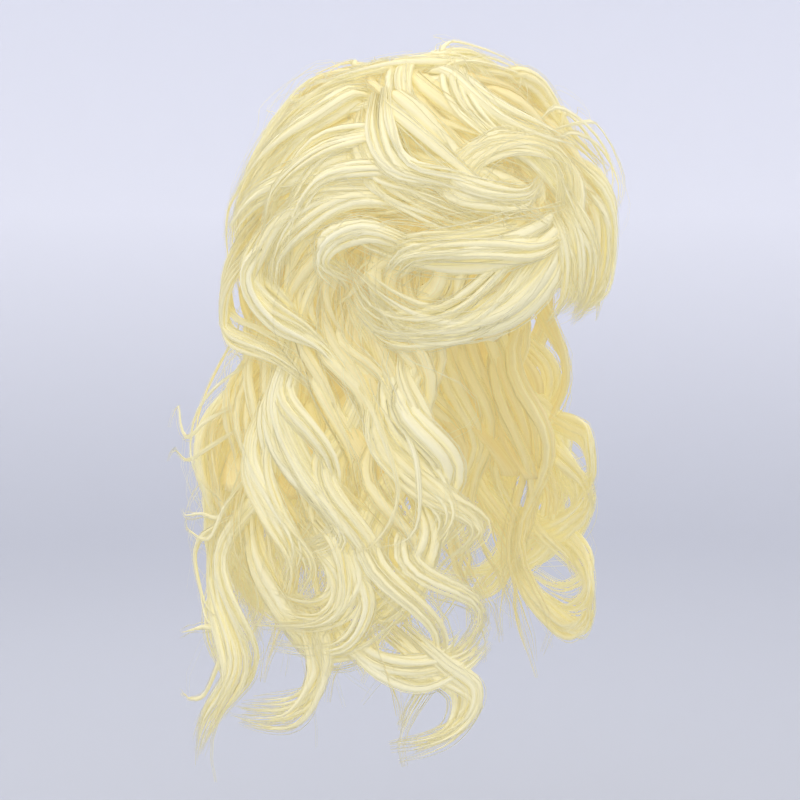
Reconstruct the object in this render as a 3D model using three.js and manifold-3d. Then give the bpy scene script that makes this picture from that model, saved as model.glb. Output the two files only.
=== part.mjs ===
// A long curly wig: a hollow stretch cap with a teased crown, a swept fringe and long waved locks round it.
// Millimetres, +Z up. The wearer faces -Y, and the origin is where the top of the head meets the cap.
// An azimuth is in degrees round the head: 0 at the face, 90 at the wearer's left ear, 180 at the nape.
import * as THREE from "three";
import { mergeVertices } from "three/addons/utils/BufferGeometryUtils.js";
import Module from "manifold-3d";

const wasm = await Module();
wasm.setup();

// Driving dimensions
const CAP_WALL = 1.6; // stretch cap with its sewn rows
const CLEARANCE = 0.4; // between neighbouring pieces
const HAIR_WALL = 18; // depth of the hanging hair at its top
const HEM_WALL = 3; // and between its ridges at the hem
const PLAN_SQUARENESS = 2.3; // exponent of the plan outlines, 2 being an ellipse

// The head that fills the cap, from the crown down: how far it reaches to the front, side and back.
const HEAD_FORM = table(
  ["z", "front", "side", "back"],
  [0, 0, 0, 0],
  [-9, 46, 40, 50],
  [-38, 82, 66, 87],
  [-80, 95, 76, 98],
  [-122, 95, 76, 95],
  [-164, 88, 68, 78],
  [-205, 62, 46, 44],
  [-220, 0, 0, 0],
);

// The lower edge of the cap at azimuths from the forehead to the nape, the same on both sides.
const CAP_EDGE = table(
  ["azimuth", "z"],
  [0, -60],
  [30, -58],
  [52, -68],
  [70, -114],
  [80, -112],
  [94, -84],
  [110, -98],
  [132, -138],
  [180, -150],
);

// The hair without its locks, from the top of the crown down. A row's place in the table is its level.
const HAIR_BODY = table(
  ["z", "front", "side", "back"],
  [126, 0, 0, 0],
  [109, 70, 74, 92],
  [64, 110, 116, 132],
  [4, 140, 138, 155],
  [-58, 138, 138, 160],
  [-118, 118, 126, 152],
  [-190, 116, 134, 184],
  [-270, 118, 138, 186],
  [-350, 120, 138, 170],
  [-440, 120, 136, 170],
  [-530, 120, 136, 170],
);

// How far down the crown hair reaches, as levels of the hair body between its ridges and at their tips.
const CROWN_HEM = table(
  ["azimuth", "level", "tip"],
  [0, 4.0, 4.45],
  [50, 4.1, 4.6],
  [75, 4.4, 4.8],
  [110, 4.6, 5.1],
  [180, 4.8, 5.4],
);

// The front edges of the hanging hair at each level, as azimuths on the right and the left.
const HANGING_EDGE = table(
  ["level", "right", "left"],
  [4.1, -66, 76],
  [5.0, -72, 76],
  [6.0, -76, 66],
  [7.0, -68, 60],
  [8.0, -72, 62],
);

// Hair falls in ridges. Count is the ridges in all, height a ridge's height in mm, sway its swing in
// degrees and bulge its swell in mm. Waves counts those from top to hem, and lag how many of them a ridge
// falls behind all the way round.
const RIDGES = {
  crown: { count: 14, height: 5, sway: 7, bulge: 3, waves: 1.2, lag: 3 },
  hanging: { count: 13, height: 7, sway: 7, bulge: 8, waves: 2.3, lag: 2 },
};
const COLUMNS_A_RIDGE = 2;
const RIDGE_START = 0.3; // the share of the length in which ridges and waves grow to their full size
const HANGING_HEM = 7.2; // level of the hanging hair's hem between ridges
const HANGING_TIP = 1.1; // levels that a ridge's tip reaches below the hem, on the whole
const TIP_SPREAD = 0.35; // share by which tips differ
const TIP_CYCLES = 4; // how often long and short tips alternate round the hem

// The locks, from root to tip. Bow swings the middle sideways in degrees and sag lowers it in levels;
// wave is the curl's reach and width the lock's breadth in mm; turns counts the waves, which start at
// phase; lift is how far the tip stands out.
const LOCK_COLUMNS = [
  "azimuth", "level", "to_azimuth", "to_level", "bow", "sag", "wave", "turns", "phase", "width", "lift",
];
const CROWN_LOCKS = table(
  LOCK_COLUMNS,
  [-87, 1.3, -28, 3.2, -6, 0.1, 6, 0.8, 0, 36, 6],
  [-70, 0.9, -4, 2.4, 0, 0, 8, 0.8, 90, 36, 10],
  [-10, 0.8, 40, 2.6, 8, 0, 10, 0.9, 0, 36, 8],
  [60, 1.0, 92, 3.3, 6, 0, 10, 1.0, 60, 38, 8],
  [130, 1.0, 146, 3.6, 6, 0, 10, 1.0, 10, 40, 8],
  [-170, 1.0, -174, 3.6, 6, 0, 10, 1.0, 100, 40, 8],
  [-92, 1.4, -142, 3.1, 0, -0.35, 6, 0.8, 0, 36, 8],
  [-83, 2.4, -146, 3.6, 0, -0.25, 6, 0.8, 90, 34, 8],
  [-96, 3.0, -136, 4.2, 0, -0.2, 6, 0.8, 180, 32, 8],
  [20, 0.4, -140, 1.3, 0, 0, 8, 1.0, 90, 36, 0],
);
const FRINGE_LOCKS = table(
  LOCK_COLUMNS,
  [-11, 3.0, -98, 3.3, 0, 0.5, 5, 0.6, 0, 32, 8],
  [-11, 3.2, -90, 3.8, 0, 0.95, 5, 0.6, 20, 40, 8],
  [-56, 2.65, -6, 3.7, 0, -0.75, 5, 0.6, 0, 28, 6],
  [-4, 2.2, -8, 4.5, -6, 0, 8, 1.0, 60, 32, 2],
  [16, 2.2, 28, 4.5, 5, 0, 8, 1.0, 300, 32, 2],
  [14, 3.0, 66, 3.9, 0, 0.6, 6, 0.7, 160, 38, 4],
);
const RIGHT_LOCKS = table(
  LOCK_COLUMNS,
  [-64, 4.6, -52, 8.3, -8, 0, 22, 2.3, 150, 27, 10],
  [-74, 4.6, -64, 8.9, -6, 0, 24, 1.9, 320, 28, 14],
  [-92, 5.0, -90, 8.4, 0, 0, 22, 1.8, 100, 28, 14],
  [-138, 6.6, -72, 7.4, 0, 1.0, 8, 0.8, 24, 38, 14],
  [-138, 3.6, -100, 7.2, 8, 0, 20, 1.7, 30, 28, 12],
  [-126, 5.0, -138, 9.3, 0, 0, 24, 2.1, 320, 28, 18],
);
const LEFT_LOCKS = table(
  LOCK_COLUMNS,
  [78, 4.7, 46, 7.9, -4, 0, 22, 2.2, 210, 27, 12],
  [86, 4.6, 60, 8.3, -2, 0, 24, 2.1, 30, 28, 14],
  [100, 5.0, 92, 8.7, 0, 0, 22, 1.9, 260, 28, 14],
  [126, 5.0, 134, 8.9, 0, 0, 24, 1.9, 166, 28, 16],
);
const BACK_LOCKS = table(
  LOCK_COLUMNS,
  [-160, 4.8, -164, 8.8, 0, 0, 22, 2.0, 188, 30, 16],
  [-180, 4.8, -180, 9.0, 0, 0, 22, 2.0, 80, 30, 16],
  [160, 4.8, 162, 8.8, 0, 0, 22, 2.0, 300, 30, 16],
);
const LOCKS = [...CROWN_LOCKS, ...FRINGE_LOCKS, ...RIGHT_LOCKS, ...LEFT_LOCKS, ...BACK_LOCKS];

// How every lock is built
const LOCK_SIDES = 4;
const LOCK_STEPS = 3; // for a lock with no waves
const STEPS_A_TURN = 5;
const ROOT_DEPTH = -12; // a root lies this deep in the hair body
const LOCK_STAND = 4; // a lock's middle line lies this far outside the hair body
const RISE_SHARE = 0.2; // the share of a lock in which it comes up out of the body
const WAVE_SHARE = 0.35; // the share of a lock in which its waves grow to their full reach
const WAVE_DEPTH = 0.5; // a wave's reach in and out, as a share of its reach to the sides
const TIGHTENING = 1.25; // waves follow each other faster towards the tip
const THICKNESS = 0.5; // a lock's thickness as a share of its width
const ROOT_BREADTH = 0.6; // a lock's breadth at its root and tip, as a share of its widest
const TIP_BREADTH = 0.16;

// Where the pieces of hair part from each other
const FRINGE_BACK = 26; // the fringe and its swoops lie in front of this y
const PARTING_Z = -98; // both lie above a plane through this height at the ears
const PARTING_TILT = 3; // degrees that the plane drops towards the nape
const TEMPLE_Y = -56; // in front of this y the fringe reaches lower
const FRINGE_LOW = -122; // down to this z
const BACK_AZIMUTH = 149; // back hair lies beyond this azimuth on both sides
const REACH = 900; // half the size of the blocks that part the pieces

// Meshing of the cap and the hair body
const ROUND_STEPS = 28;
const CAP_ROWS = 6;
const FACE_ROWS = 4;
const CROWN_ROWS = 8;
const HANGING_ROWS = 10;
const WEDGE_STEPS = 4;
const LEVEL_STEP = 0.02; // levels over which a form's slope is taken
const LINE_STEP = 0.01; // share of a lock over which its direction is taken
const HALVINGS = 30; // to find a level
const SAME_POINT = 1e-3; // points nearer than this are one

// Rows of numbers as objects with named columns.
function table(columns, ...rows) {
  return rows.map((row) => Object.fromEntries(columns.map((name, i) => [name, row[i]])));
}

const radians = THREE.MathUtils.degToRad;
const lerp = THREE.MathUtils.lerp;
const smooth = (x) => THREE.MathUtils.smoothstep(x, 0, 1);

// A value that follows a table's column smoothly; the key column runs from the first row to the last.
function follow(rows, key, at, column) {
  const x = THREE.MathUtils.clamp(at, rows[0][key], rows.at(-1)[key]);
  const i = Math.max(1, rows.findIndex((row) => x <= row[key]));
  const [a, b] = [rows[i - 1], rows[i]];
  return lerp(a[column], b[column], smooth((x - a[key]) / (b[key] - a[key])));
}

// A form's section at a level: a Catmull-Rom spline through its rows, mirrored over the pole.
function section(form, level, column) {
  const last = form.length - 1;
  const i = THREE.MathUtils.clamp(Math.floor(level), 0, last - 1);
  const mirrored = column === "z" ? form[1].z : -form[1][column];
  const before = i > 0 ? form[i - 1][column] : mirrored;
  const after = form[Math.min(i + 2, last)][column];
  const [a, b] = [form[i][column], form[i + 1][column]];
  const x = level - i;
  const slopeA = (b - before) / 2;
  const slopeB = (after - a) / 2;
  const bend = 3 * (b - a) - 2 * slopeA - slopeB;
  const twist = slopeA + slopeB - 2 * (b - a);
  return a + x * (slopeA + x * (bend + x * twist));
}

// A point of a form at an azimuth and a level.
function surface(form, azimuth, level) {
  const sine = Math.sin(radians(azimuth));
  const cosine = Math.cos(radians(azimuth));
  const depth = section(form, level, cosine > 0 ? "front" : "back");
  const side = section(form, level, "side");
  const reach = Math.min(depth, side) < SAME_POINT
    ? 0
    : (Math.abs(cosine / depth) ** PLAN_SQUARENESS + Math.abs(sine / side) ** PLAN_SQUARENESS) **
      (-1 / PLAN_SQUARENESS);
  return new THREE.Vector3(reach * sine, -reach * cosine, section(form, level, "z"));
}

// The way out of a form at a point, from its neighbours along the azimuth and the level.
function outward(form, azimuth, level) {
  const low = Math.max(level, 2 * LEVEL_STEP);
  const along = surface(form, azimuth + 1, low).sub(surface(form, azimuth - 1, low));
  const down = surface(form, azimuth, low + LEVEL_STEP).sub(surface(form, azimuth, low - LEVEL_STEP));
  return down.cross(along).normalize();
}

const offset = (form, azimuth, level, out) =>
  surface(form, azimuth, level).addScaledVector(outward(form, azimuth, level), out);

// The level at which a form has a height, found by halving.
function levelAt(form, z) {
  let [low, high] = [0, form.length - 1];
  for (let i = 0; i < HALVINGS; i++) {
    const middle = (low + high) / 2;
    if (section(form, middle, "z") > z) low = middle;
    else high = middle;
  }
  return low;
}

// A closed solid from rings of points, each ring as long as the next, with a point at both ends.
function ringSolid(rings, start, end) {
  const sides = rings[0].length;
  const points = [...rings.flat(), start, end];
  const faces = [];
  const corner = (row, side) => row * sides + (side % sides);
  const first = rings.length * sides;
  for (let side = 0; side < sides; side++) {
    faces.push(first, corner(0, side + 1), corner(0, side));
    faces.push(first + 1, corner(rings.length - 1, side), corner(rings.length - 1, side + 1));
    for (let row = 0; row + 1 < rings.length; row++) {
      faces.push(corner(row, side), corner(row, side + 1), corner(row + 1, side + 1));
      faces.push(corner(row, side), corner(row + 1, side + 1), corner(row + 1, side));
    }
  }
  return solidOf(new THREE.BufferGeometry().setFromPoints(points).setIndex(faces));
}

// A closed solid between two grids of points of the same size, the outer one and the inner one.
function slabSolid(outer, inner) {
  const [columns, rows] = [outer.length, outer[0].length];
  const points = [...outer.flat(), ...inner.flat()];
  const faces = [];
  const corner = (column, row) => column * rows + row;
  const behind = columns * rows;
  const quad = (a, b, c, d) => faces.push(a, b, c, a, c, d);
  for (let column = 0; column + 1 < columns; column++) {
    for (let row = 0; row + 1 < rows; row++) {
      const loop = [[0, 0], [0, 1], [1, 1], [1, 0]].map(([i, j]) => corner(column + i, row + j));
      quad(...loop);
      quad(...loop.map((point) => point + behind).reverse());
    }
  }
  const border = [
    ...range(columns - 1).map((column) => corner(column, 0)),
    ...range(rows - 1).map((row) => corner(columns - 1, row)),
    ...range(columns - 1).map((column) => corner(columns - 1 - column, rows - 1)),
    ...range(rows - 1).map((row) => corner(0, rows - 1 - row)),
  ];
  border.forEach((point, i) => {
    const next = border[(i + 1) % border.length];
    quad(point, next, next + behind, point + behind);
  });
  return solidOf(new THREE.BufferGeometry().setFromPoints(points).setIndex(faces));
}

// A geometry as a manifold-3d solid.
function solidOf(geometry) {
  geometry.deleteAttribute("normal");
  geometry.deleteAttribute("uv");
  const merged = mergeVertices(geometry, SAME_POINT);
  const vertProperties = new Float32Array(merged.attributes.position.array);
  const triVerts = new Uint32Array(merged.index.array);
  return new wasm.Manifold(new wasm.Mesh({ numProp: 3, vertProperties, triVerts }));
}

// A solid's vertices and triangles as a geometry.
function geometryOf(solid) {
  const { numProp, numVert, vertProperties, triVerts } = solid.getMesh();
  const positions = new Float32Array(numVert * 3);
  for (let i = 0; i < numVert; i++) {
    positions.set(vertProperties.subarray(i * numProp, i * numProp + 3), i * 3);
  }
  return new THREE.BufferGeometry()
    .setAttribute("position", new THREE.BufferAttribute(positions, 3))
    .setIndex(new THREE.BufferAttribute(new Uint32Array(triVerts), 1));
}

const range = (count) => Array.from({ length: count }, (_, i) => i);
const azimuths = range(ROUND_STEPS).map((i) => (-i * 360) / ROUND_STEPS);
const folded = (azimuth) => Math.abs(THREE.MathUtils.euclideanModulo(azimuth + 180, 360) - 180);

// Rings round the head form at a distance from it, from the crown to the cap's edge or on to the chin.
function headRings(out, toChin) {
  const chin = HEAD_FORM.length - 1;
  const edges = azimuths.map((azimuth) =>
    levelAt(HEAD_FORM, follow(CAP_EDGE, "azimuth", folded(azimuth), "z")),
  );
  const ring = (place) => azimuths.map((azimuth, i) => offset(HEAD_FORM, azimuth, place(edges[i]), out));
  const capRings = range(CAP_ROWS).map((row) => ring((edge) => (edge * (row + 1)) / CAP_ROWS));
  const faceShares = range(FACE_ROWS).map((row) => (row + 1) / (FACE_ROWS + 1));
  const faceRings = faceShares.map((share) => ring((edge) => lerp(edge, chin, share)));
  return toChin ? [...capRings, ...faceRings] : capRings;
}

// The cap: the head form's surface with a wall, from the crown to the cap's edge.
function capSolid() {
  const outer = headRings(CAP_WALL, false);
  const inner = headRings(0, false).reverse();
  return ringSolid([...outer, ...inner], new THREE.Vector3(0, 0, CAP_WALL), new THREE.Vector3(0, 0, 0));
}

// The room that the head and the cap take, which all hair stays out of.
function headRoom() {
  const out = CAP_WALL + CLEARANCE;
  const bottom = new THREE.Vector3(0, 0, HEAD_FORM.at(-1).z - out);
  return ringSolid(headRings(out, true), new THREE.Vector3(0, 0, out), bottom);
}

// How far a ridge's line sways and stands out: its share of the way round, and of its length.
function ridgeShape(ridges, round, along) {
  const grown = smooth(along / RIDGE_START);
  const wave = 2 * Math.PI * (ridges.waves * along + ridges.lag * round);
  const crest = Math.cos(2 * Math.PI * ridges.count * round);
  return {
    crest: (1 + crest) / 2,
    sway: ridges.sway * grown * Math.sin(wave),
    bulge: ridges.bulge * grown * Math.cos(wave),
    height: ridges.height * grown * crest,
  };
}

// The deep bed of hair over the cap, in ridges from the top of the crown to their tips.
function crownBed() {
  const columns = range(RIDGES.crown.count * COLUMNS_A_RIDGE);
  const place = (column, along) => {
    const round = column / columns.length;
    const { crest, sway, bulge, height } = ridgeShape(RIDGES.crown, round, along);
    const azimuth = -360 * round;
    const [hem, tip] = ["level", "tip"].map((name) => follow(CROWN_HEM, "azimuth", folded(azimuth), name));
    return offset(HAIR_BODY, azimuth + sway, lerp(hem, tip, crest) * along, bulge + height);
  };
  const rows = range(CROWN_ROWS).map((row) => (row + 1) / CROWN_ROWS);
  const rings = rows.map((along) => columns.map((column) => place(column, along)));
  const lowest = Math.min(...rings.at(-1).map((point) => point.z));
  return ringSolid(rings, surface(HAIR_BODY, 0, 0), new THREE.Vector3(0, 0, lowest));
}

// The hanging hair: a wall round the sides and back, open at the face, in ridges that end in tips.
function hangingWall() {
  const columns = RIDGES.hanging.count * COLUMNS_A_RIDGE;
  const place = (round, along, inside) => {
    const { crest, sway, bulge, height } = ridgeShape(RIDGES.hanging, round, along);
    const spread = 1 + TIP_SPREAD * Math.sin(2 * Math.PI * TIP_CYCLES * round);
    const level = lerp(HANGING_EDGE[0].level, HANGING_HEM + HANGING_TIP * crest * spread, along);
    const [left, right] = ["left", "right"].map((side) => follow(HANGING_EDGE, "level", level, side));
    const depth = lerp(HAIR_WALL, RIDGES.hanging.height + HEM_WALL, along);
    const out = bulge + (inside ? -depth : height);
    return offset(HAIR_BODY, lerp(left, right + 360, round) + sway, level, out);
  };
  const grid = (inside) =>
    range(columns + 1).map((column) =>
      range(HANGING_ROWS + 1).map((row) => place(column / columns, row / HANGING_ROWS, inside)),
    );
  return slabSolid(grid(false), grid(true));
}

// A lock's line on the hair body, before its waves.
function lockLine(lock, t) {
  const azimuth = lerp(lock.azimuth, lock.to_azimuth, t) + lock.bow * Math.sin(Math.PI * t);
  return [azimuth, lerp(lock.level, lock.to_level, t) + lock.sag * Math.sin(Math.PI * t)];
}

// A point of a lock's middle line: waves to the side and out, which grow and tighten towards the tip.
function lockPoint(lock, t) {
  const [azimuth, level] = lockLine(lock, t);
  const ahead = surface(HAIR_BODY, ...lockLine(lock, t + LINE_STEP));
  const behind = surface(HAIR_BODY, ...lockLine(lock, t - LINE_STEP));
  const out = outward(HAIR_BODY, azimuth, level);
  const sideways = out.clone().cross(ahead.sub(behind)).normalize();
  const angle = 2 * Math.PI * lock.turns * t ** TIGHTENING + radians(lock.phase);
  const wave = lock.wave * smooth(t / WAVE_SHARE);
  const stand = lerp(ROOT_DEPTH, LOCK_STAND, smooth(t / RISE_SHARE)) + lock.lift * t * t;
  return surface(HAIR_BODY, azimuth, level)
    .addScaledVector(out, stand + WAVE_DEPTH * wave * Math.cos(angle))
    .addScaledVector(sideways, wave * Math.sin(angle));
}

// A lock as a flattened, tapered tube along its middle line.
function lockSolid(lock) {
  const steps = Math.round(LOCK_STEPS + STEPS_A_TURN * lock.turns);
  const rings = range(steps + 1).map((i) => {
    const t = i / steps;
    const ahead = lockPoint(lock, Math.min(1, t + LINE_STEP));
    const along = ahead.sub(lockPoint(lock, Math.max(0, t - LINE_STEP))).normalize();
    const out = outward(HAIR_BODY, ...lockLine(lock, t));
    const across = out.clone().cross(along).normalize();
    const up = along.clone().cross(across);
    const swell = lerp(ROOT_BREADTH, 1, smooth(t / WAVE_SHARE)) * lerp(1, TIP_BREADTH, t ** 3);
    return range(LOCK_SIDES).map((side) => {
      const turn = Math.PI / 2 + (2 * Math.PI * side) / LOCK_SIDES;
      const half = (lock.width / 2) * swell;
      return lockPoint(lock, t)
        .addScaledVector(across, half * Math.cos(turn))
        .addScaledVector(up, half * THICKNESS * Math.sin(turn));
    });
  });
  return ringSolid(rings, lockPoint(lock, 0), lockPoint(lock, 1));
}

// Blocks that part the pieces of hair, each taken in by half a clearance.
function block(lowX, highX, lowY, highY, lowZ, highZ) {
  const size = [highX - lowX, highY - lowY, highZ - lowZ];
  const middle = [(highX + lowX) / 2, (highY + lowY) / 2, (highZ + lowZ) / 2];
  return solidOf(new THREE.BoxGeometry(...size).translate(...middle));
}

function tilted(lowZ, highZ) {
  const box = new THREE.BoxGeometry(2 * REACH, 2 * REACH, highZ - lowZ).translate(0, 0, (lowZ + highZ) / 2);
  return solidOf(box.rotateX(-radians(PARTING_TILT)).translate(0, 0, PARTING_Z));
}

function wedge(fromAzimuth, toAzimuth) {
  const corner = (azimuth) => [REACH * Math.sin(radians(azimuth)), -REACH * Math.cos(radians(azimuth))];
  const middle = radians((fromAzimuth + toAzimuth) / 2);
  const start = [CLEARANCE * Math.sin(middle), -CLEARANCE * Math.cos(middle)];
  const turns = range(WEDGE_STEPS + 1).map((i) => lerp(fromAzimuth, toAzimuth, i / WEDGE_STEPS));
  const outline = new THREE.Shape([start, ...turns.map(corner)].map(([x, y]) => new THREE.Vector2(x, y)));
  const prism = new THREE.ExtrudeGeometry(outline, { depth: 2 * REACH, bevelEnabled: false });
  return solidOf(prism.translate(start[0], start[1], -REACH));
}

// The largest body of a solid: what a cut leaves loose, or hanging by a single edge, is dropped.
function largest(solid) {
  return solidOf(geometryOf(solid)).decompose().sort((a, b) => b.volume() - a.volume())[0];
}

// The room of the fringe, taken in or let out.
function fringeRoom(out) {
  const top = tilted(-out, REACH).intersect(block(-REACH, REACH, -REACH, FRINGE_BACK + out, -REACH, REACH));
  return top.add(block(-REACH, REACH, -REACH, TEMPLE_Y + out, FRINGE_LOW - out, REACH));
}

function hairPieces() {
  const half = CLEARANCE / 2;
  const grown = wasm.Manifold.union([crownBed(), hangingWall(), ...LOCKS.map(lockSolid)]);
  const all = grown.subtract(headRoom());
  const rest = all.subtract(fringeRoom(half));
  const hanging = rest.intersect(tilted(-REACH, -half));
  return {
    crown_hair: largest(rest.intersect(tilted(half, REACH))),
    fringe_hair: largest(all.intersect(fringeRoom(-half))),
    right_hair: largest(hanging.intersect(wedge(-BACK_AZIMUTH, 0))),
    left_hair: largest(hanging.intersect(wedge(0, BACK_AZIMUTH))),
    back_hair: largest(hanging.intersect(wedge(BACK_AZIMUTH, 360 - BACK_AZIMUTH))),
  };
}

// A named mesh from a solid.
function piece(name, solid, material) {
  const mesh = new THREE.Mesh(geometryOf(solid), material);
  mesh.geometry.computeVertexNormals();
  mesh.name = name;
  return mesh;
}

const hairFibre = new THREE.MeshStandardMaterial({ color: 0xe6dba8, roughness: 0.45, metalness: 0 });
const capNet = new THREE.MeshStandardMaterial({ color: 0xcdb987, roughness: 0.85, metalness: 0 });

const wig = new THREE.Group();
wig.add(piece("wig_cap", capSolid(), capNet));
for (const [name, solid] of Object.entries(hairPieces())) {
  wig.add(piece(name, solid, hairFibre));
}

export default wig;
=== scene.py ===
"""A long curly wig, grown strand by strand on the forms of its solids.

Lengths are in millimetres until a mesh is made, which is in metres with +Z up. The wearer faces -Y, and the
origin is where the top of the head meets the cap. An azimuth is in degrees round the head: 0 at the face,
90 at the wearer's left ear, 180 at the nape.
"""

import bpy
import numpy as np
from bpy.props import FloatProperty, FloatVectorProperty, IntProperty, PointerProperty
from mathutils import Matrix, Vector


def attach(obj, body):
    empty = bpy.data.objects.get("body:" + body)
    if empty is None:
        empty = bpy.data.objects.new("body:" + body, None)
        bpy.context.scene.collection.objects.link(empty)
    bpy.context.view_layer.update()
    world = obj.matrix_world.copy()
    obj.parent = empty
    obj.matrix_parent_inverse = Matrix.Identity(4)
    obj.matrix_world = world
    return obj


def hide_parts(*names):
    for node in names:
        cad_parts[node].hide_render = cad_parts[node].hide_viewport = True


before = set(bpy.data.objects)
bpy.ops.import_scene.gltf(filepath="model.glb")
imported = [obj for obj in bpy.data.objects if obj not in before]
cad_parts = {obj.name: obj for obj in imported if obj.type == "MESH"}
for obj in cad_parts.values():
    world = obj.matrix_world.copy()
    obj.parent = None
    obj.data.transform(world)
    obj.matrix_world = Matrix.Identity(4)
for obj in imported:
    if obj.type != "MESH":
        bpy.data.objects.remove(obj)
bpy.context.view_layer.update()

bl_info = {
    "name": "Curly wig",
    "version": (1, 0, 0),
    "blender": (4, 5, 0),
    "location": "3D View > Sidebar > Wig",
    "description": "Grows a long curly wig on its cap, strand by strand",
    "category": "Object",
}

MM = 0.001
SHORTEST = 1e-9  # a vector's length is taken to be this at least


def rows_of(*rows):
    """Rows of numbers as one array."""
    return np.array(rows, float)


def table(columns, *rows):
    """Rows of numbers as one array for each named column."""
    return dict(zip(columns, rows_of(*rows).T))


# The forms, the same as the solids': the head that fills the cap, and the hair without its locks, from the
# top down. Each row says how far the form reaches to the front, side and back, and its place is its level.
FORM_COLUMNS = ("z", "front", "side", "back")
HEAD_FORM = table(
    FORM_COLUMNS,
    (0, 0, 0, 0),
    (-9, 46, 40, 50),
    (-38, 82, 66, 87),
    (-80, 95, 76, 98),
    (-122, 95, 76, 95),
    (-164, 88, 68, 78),
    (-205, 62, 46, 44),
    (-220, 0, 0, 0),
)
HAIR_BODY = table(
    FORM_COLUMNS,
    (126, 0, 0, 0),
    (109, 70, 74, 92),
    (64, 110, 116, 132),
    (4, 140, 138, 155),
    (-58, 138, 138, 160),
    (-118, 118, 126, 152),
    (-190, 116, 134, 184),
    (-270, 118, 138, 186),
    (-350, 120, 138, 170),
    (-440, 120, 136, 170),
    (-530, 120, 136, 170),
)
PLAN_SQUARENESS = 2.3  # exponent of the plan outlines, 2 being an ellipse
LEAST_REACH = 1e-6  # a plan's reach at a pole, where it would be nothing
LEVEL_STEP = 0.02  # a form's slope is taken this many levels up and down, and a degree to both sides
POLE_GAP = 0.04  # and not nearer to the pole than this level

# The lower edge of the cap, the same on both sides
CAP_EDGE = table(
    ("azimuth", "z"),
    (0, -60),
    (30, -58),
    (52, -68),
    (70, -114),
    (80, -112),
    (94, -84),
    (110, -98),
    (132, -138),
    (180, -150),
)
# How far down the crown's hem lies, as levels half-way between the hem and the tips of its solid's ridges
CROWN_HEM = table(
    ("azimuth", "level"),
    (0, 4.2),
    (50, 4.35),
    (75, 4.6),
    (110, 4.85),
    (180, 5.1),
)
# The front edges of the hanging hair, as azimuths on the right and the left
HANGING_EDGE = table(
    ("level", "right", "left"),
    (4.1, -66, 76),
    (5.0, -72, 76),
    (6.0, -76, 66),
    (7.0, -68, 60),
    (8.0, -72, 62),
)
CROWN_RIDGES = {"count": 14, "height": 5, "sway": 7, "bulge": 3, "waves": 1.2, "lag": 3}
HANGING_RIDGES = {"count": 13, "height": 7, "sway": 7, "bulge": 8, "waves": 2.3, "lag": 2}
RIDGE_START = 0.3  # the share of the length in which ridges and waves grow to their full size
HANGING_HEM = 7.75  # level half-way between the hanging hair's hem and the tips of its solid's ridges

# The cap's wall, and the sewn rows and edge band that stand out on both sides of it
CAP_WALL = 1.6
CAP_CELLS = (60, 72)  # round the cap and from its top to its edge
EDGE_SAMPLES = 400  # levels at which the edge is looked for
ROW_RELIEF = 0.6
ROW_SHARPNESS = 4  # exponent that narrows a row
BAND_START = 0.93  # the share of the way down at which the band starts
BAND_BLEND = 0.02  # and the share in which it comes to its full relief
BAND_HEIGHT = 8  # the band's colour ends this far above the edge
BAND_FADE = 2  # and fades over this height
CLEARANCE = 0.4  # from the cap to the hair

# The beds under the locks: cells across and down, depth under the ridges, and the share of the way to the
# hem that they reach. The inside of the lengths' bed has a depth at the top and one at the hem.
TOP_BED = {"cells": (60, 24), "depth": 12, "end": 0.95}
LENGTHS_BED = {"cells": (40, 28), "depth": 10, "inside": (18, 14), "end": 0.68}
# The beds take a low tone, which is painted shade: the deep golden of the shade that falls under the locks
BED_SHADE = 0.15

# The locks, from root to tip. Bow swings the middle sideways in degrees and sag lowers it in levels; wave
# is the curl's reach and width the lock's breadth in mm; turns counts the waves, which start at phase; lift
# is how far the tip stands out.
LOCK_COLUMNS = (
    "azimuth", "level", "to_azimuth", "to_level", "bow", "sag", "wave", "turns", "phase", "width", "lift",
)
END_COLUMNS = 4  # the first ones say where a lock's ends lie
TOP_LOCKS = rows_of(
    (-87, 1.3, -28, 3.2, -6, 0.1, 6, 0.8, 0, 36, 6),
    (-70, 0.9, -4, 2.4, 0, 0, 8, 0.8, 90, 36, 10),
    (-10, 0.8, 40, 2.6, 8, 0, 10, 0.9, 0, 36, 8),
    (60, 1.0, 92, 3.3, 6, 0, 10, 1.0, 60, 38, 8),
    (130, 1.0, 146, 3.6, 6, 0, 10, 1.0, 10, 40, 8),
    (-170, 1.0, -174, 3.6, 6, 0, 10, 1.0, 100, 40, 8),
    (-92, 1.4, -142, 3.1, 0, -0.35, 6, 0.8, 0, 36, 8),
    (-83, 2.4, -146, 3.6, 0, -0.25, 6, 0.8, 90, 34, 8),
    (-96, 3.0, -136, 4.2, 0, -0.2, 6, 0.8, 180, 32, 8),
    (20, 0.4, -140, 1.3, 0, 0, 8, 1.0, 90, 36, 0),
    (-11, 3.0, -98, 3.3, 0, 0.5, 5, 0.6, 0, 32, 8),
    (-11, 3.2, -90, 3.8, 0, 0.95, 5, 0.6, 20, 40, 8),
    (-56, 2.65, -6, 3.7, 0, -0.75, 5, 0.6, 0, 28, 6),
    (-4, 2.2, -8, 4.5, -6, 0, 8, 1.0, 60, 32, 2),
    (16, 2.2, 28, 4.5, 5, 0, 8, 1.0, 300, 32, 2),
    (14, 3.0, 66, 3.9, 0, 0.6, 6, 0.7, 160, 38, 4),
)
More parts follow.
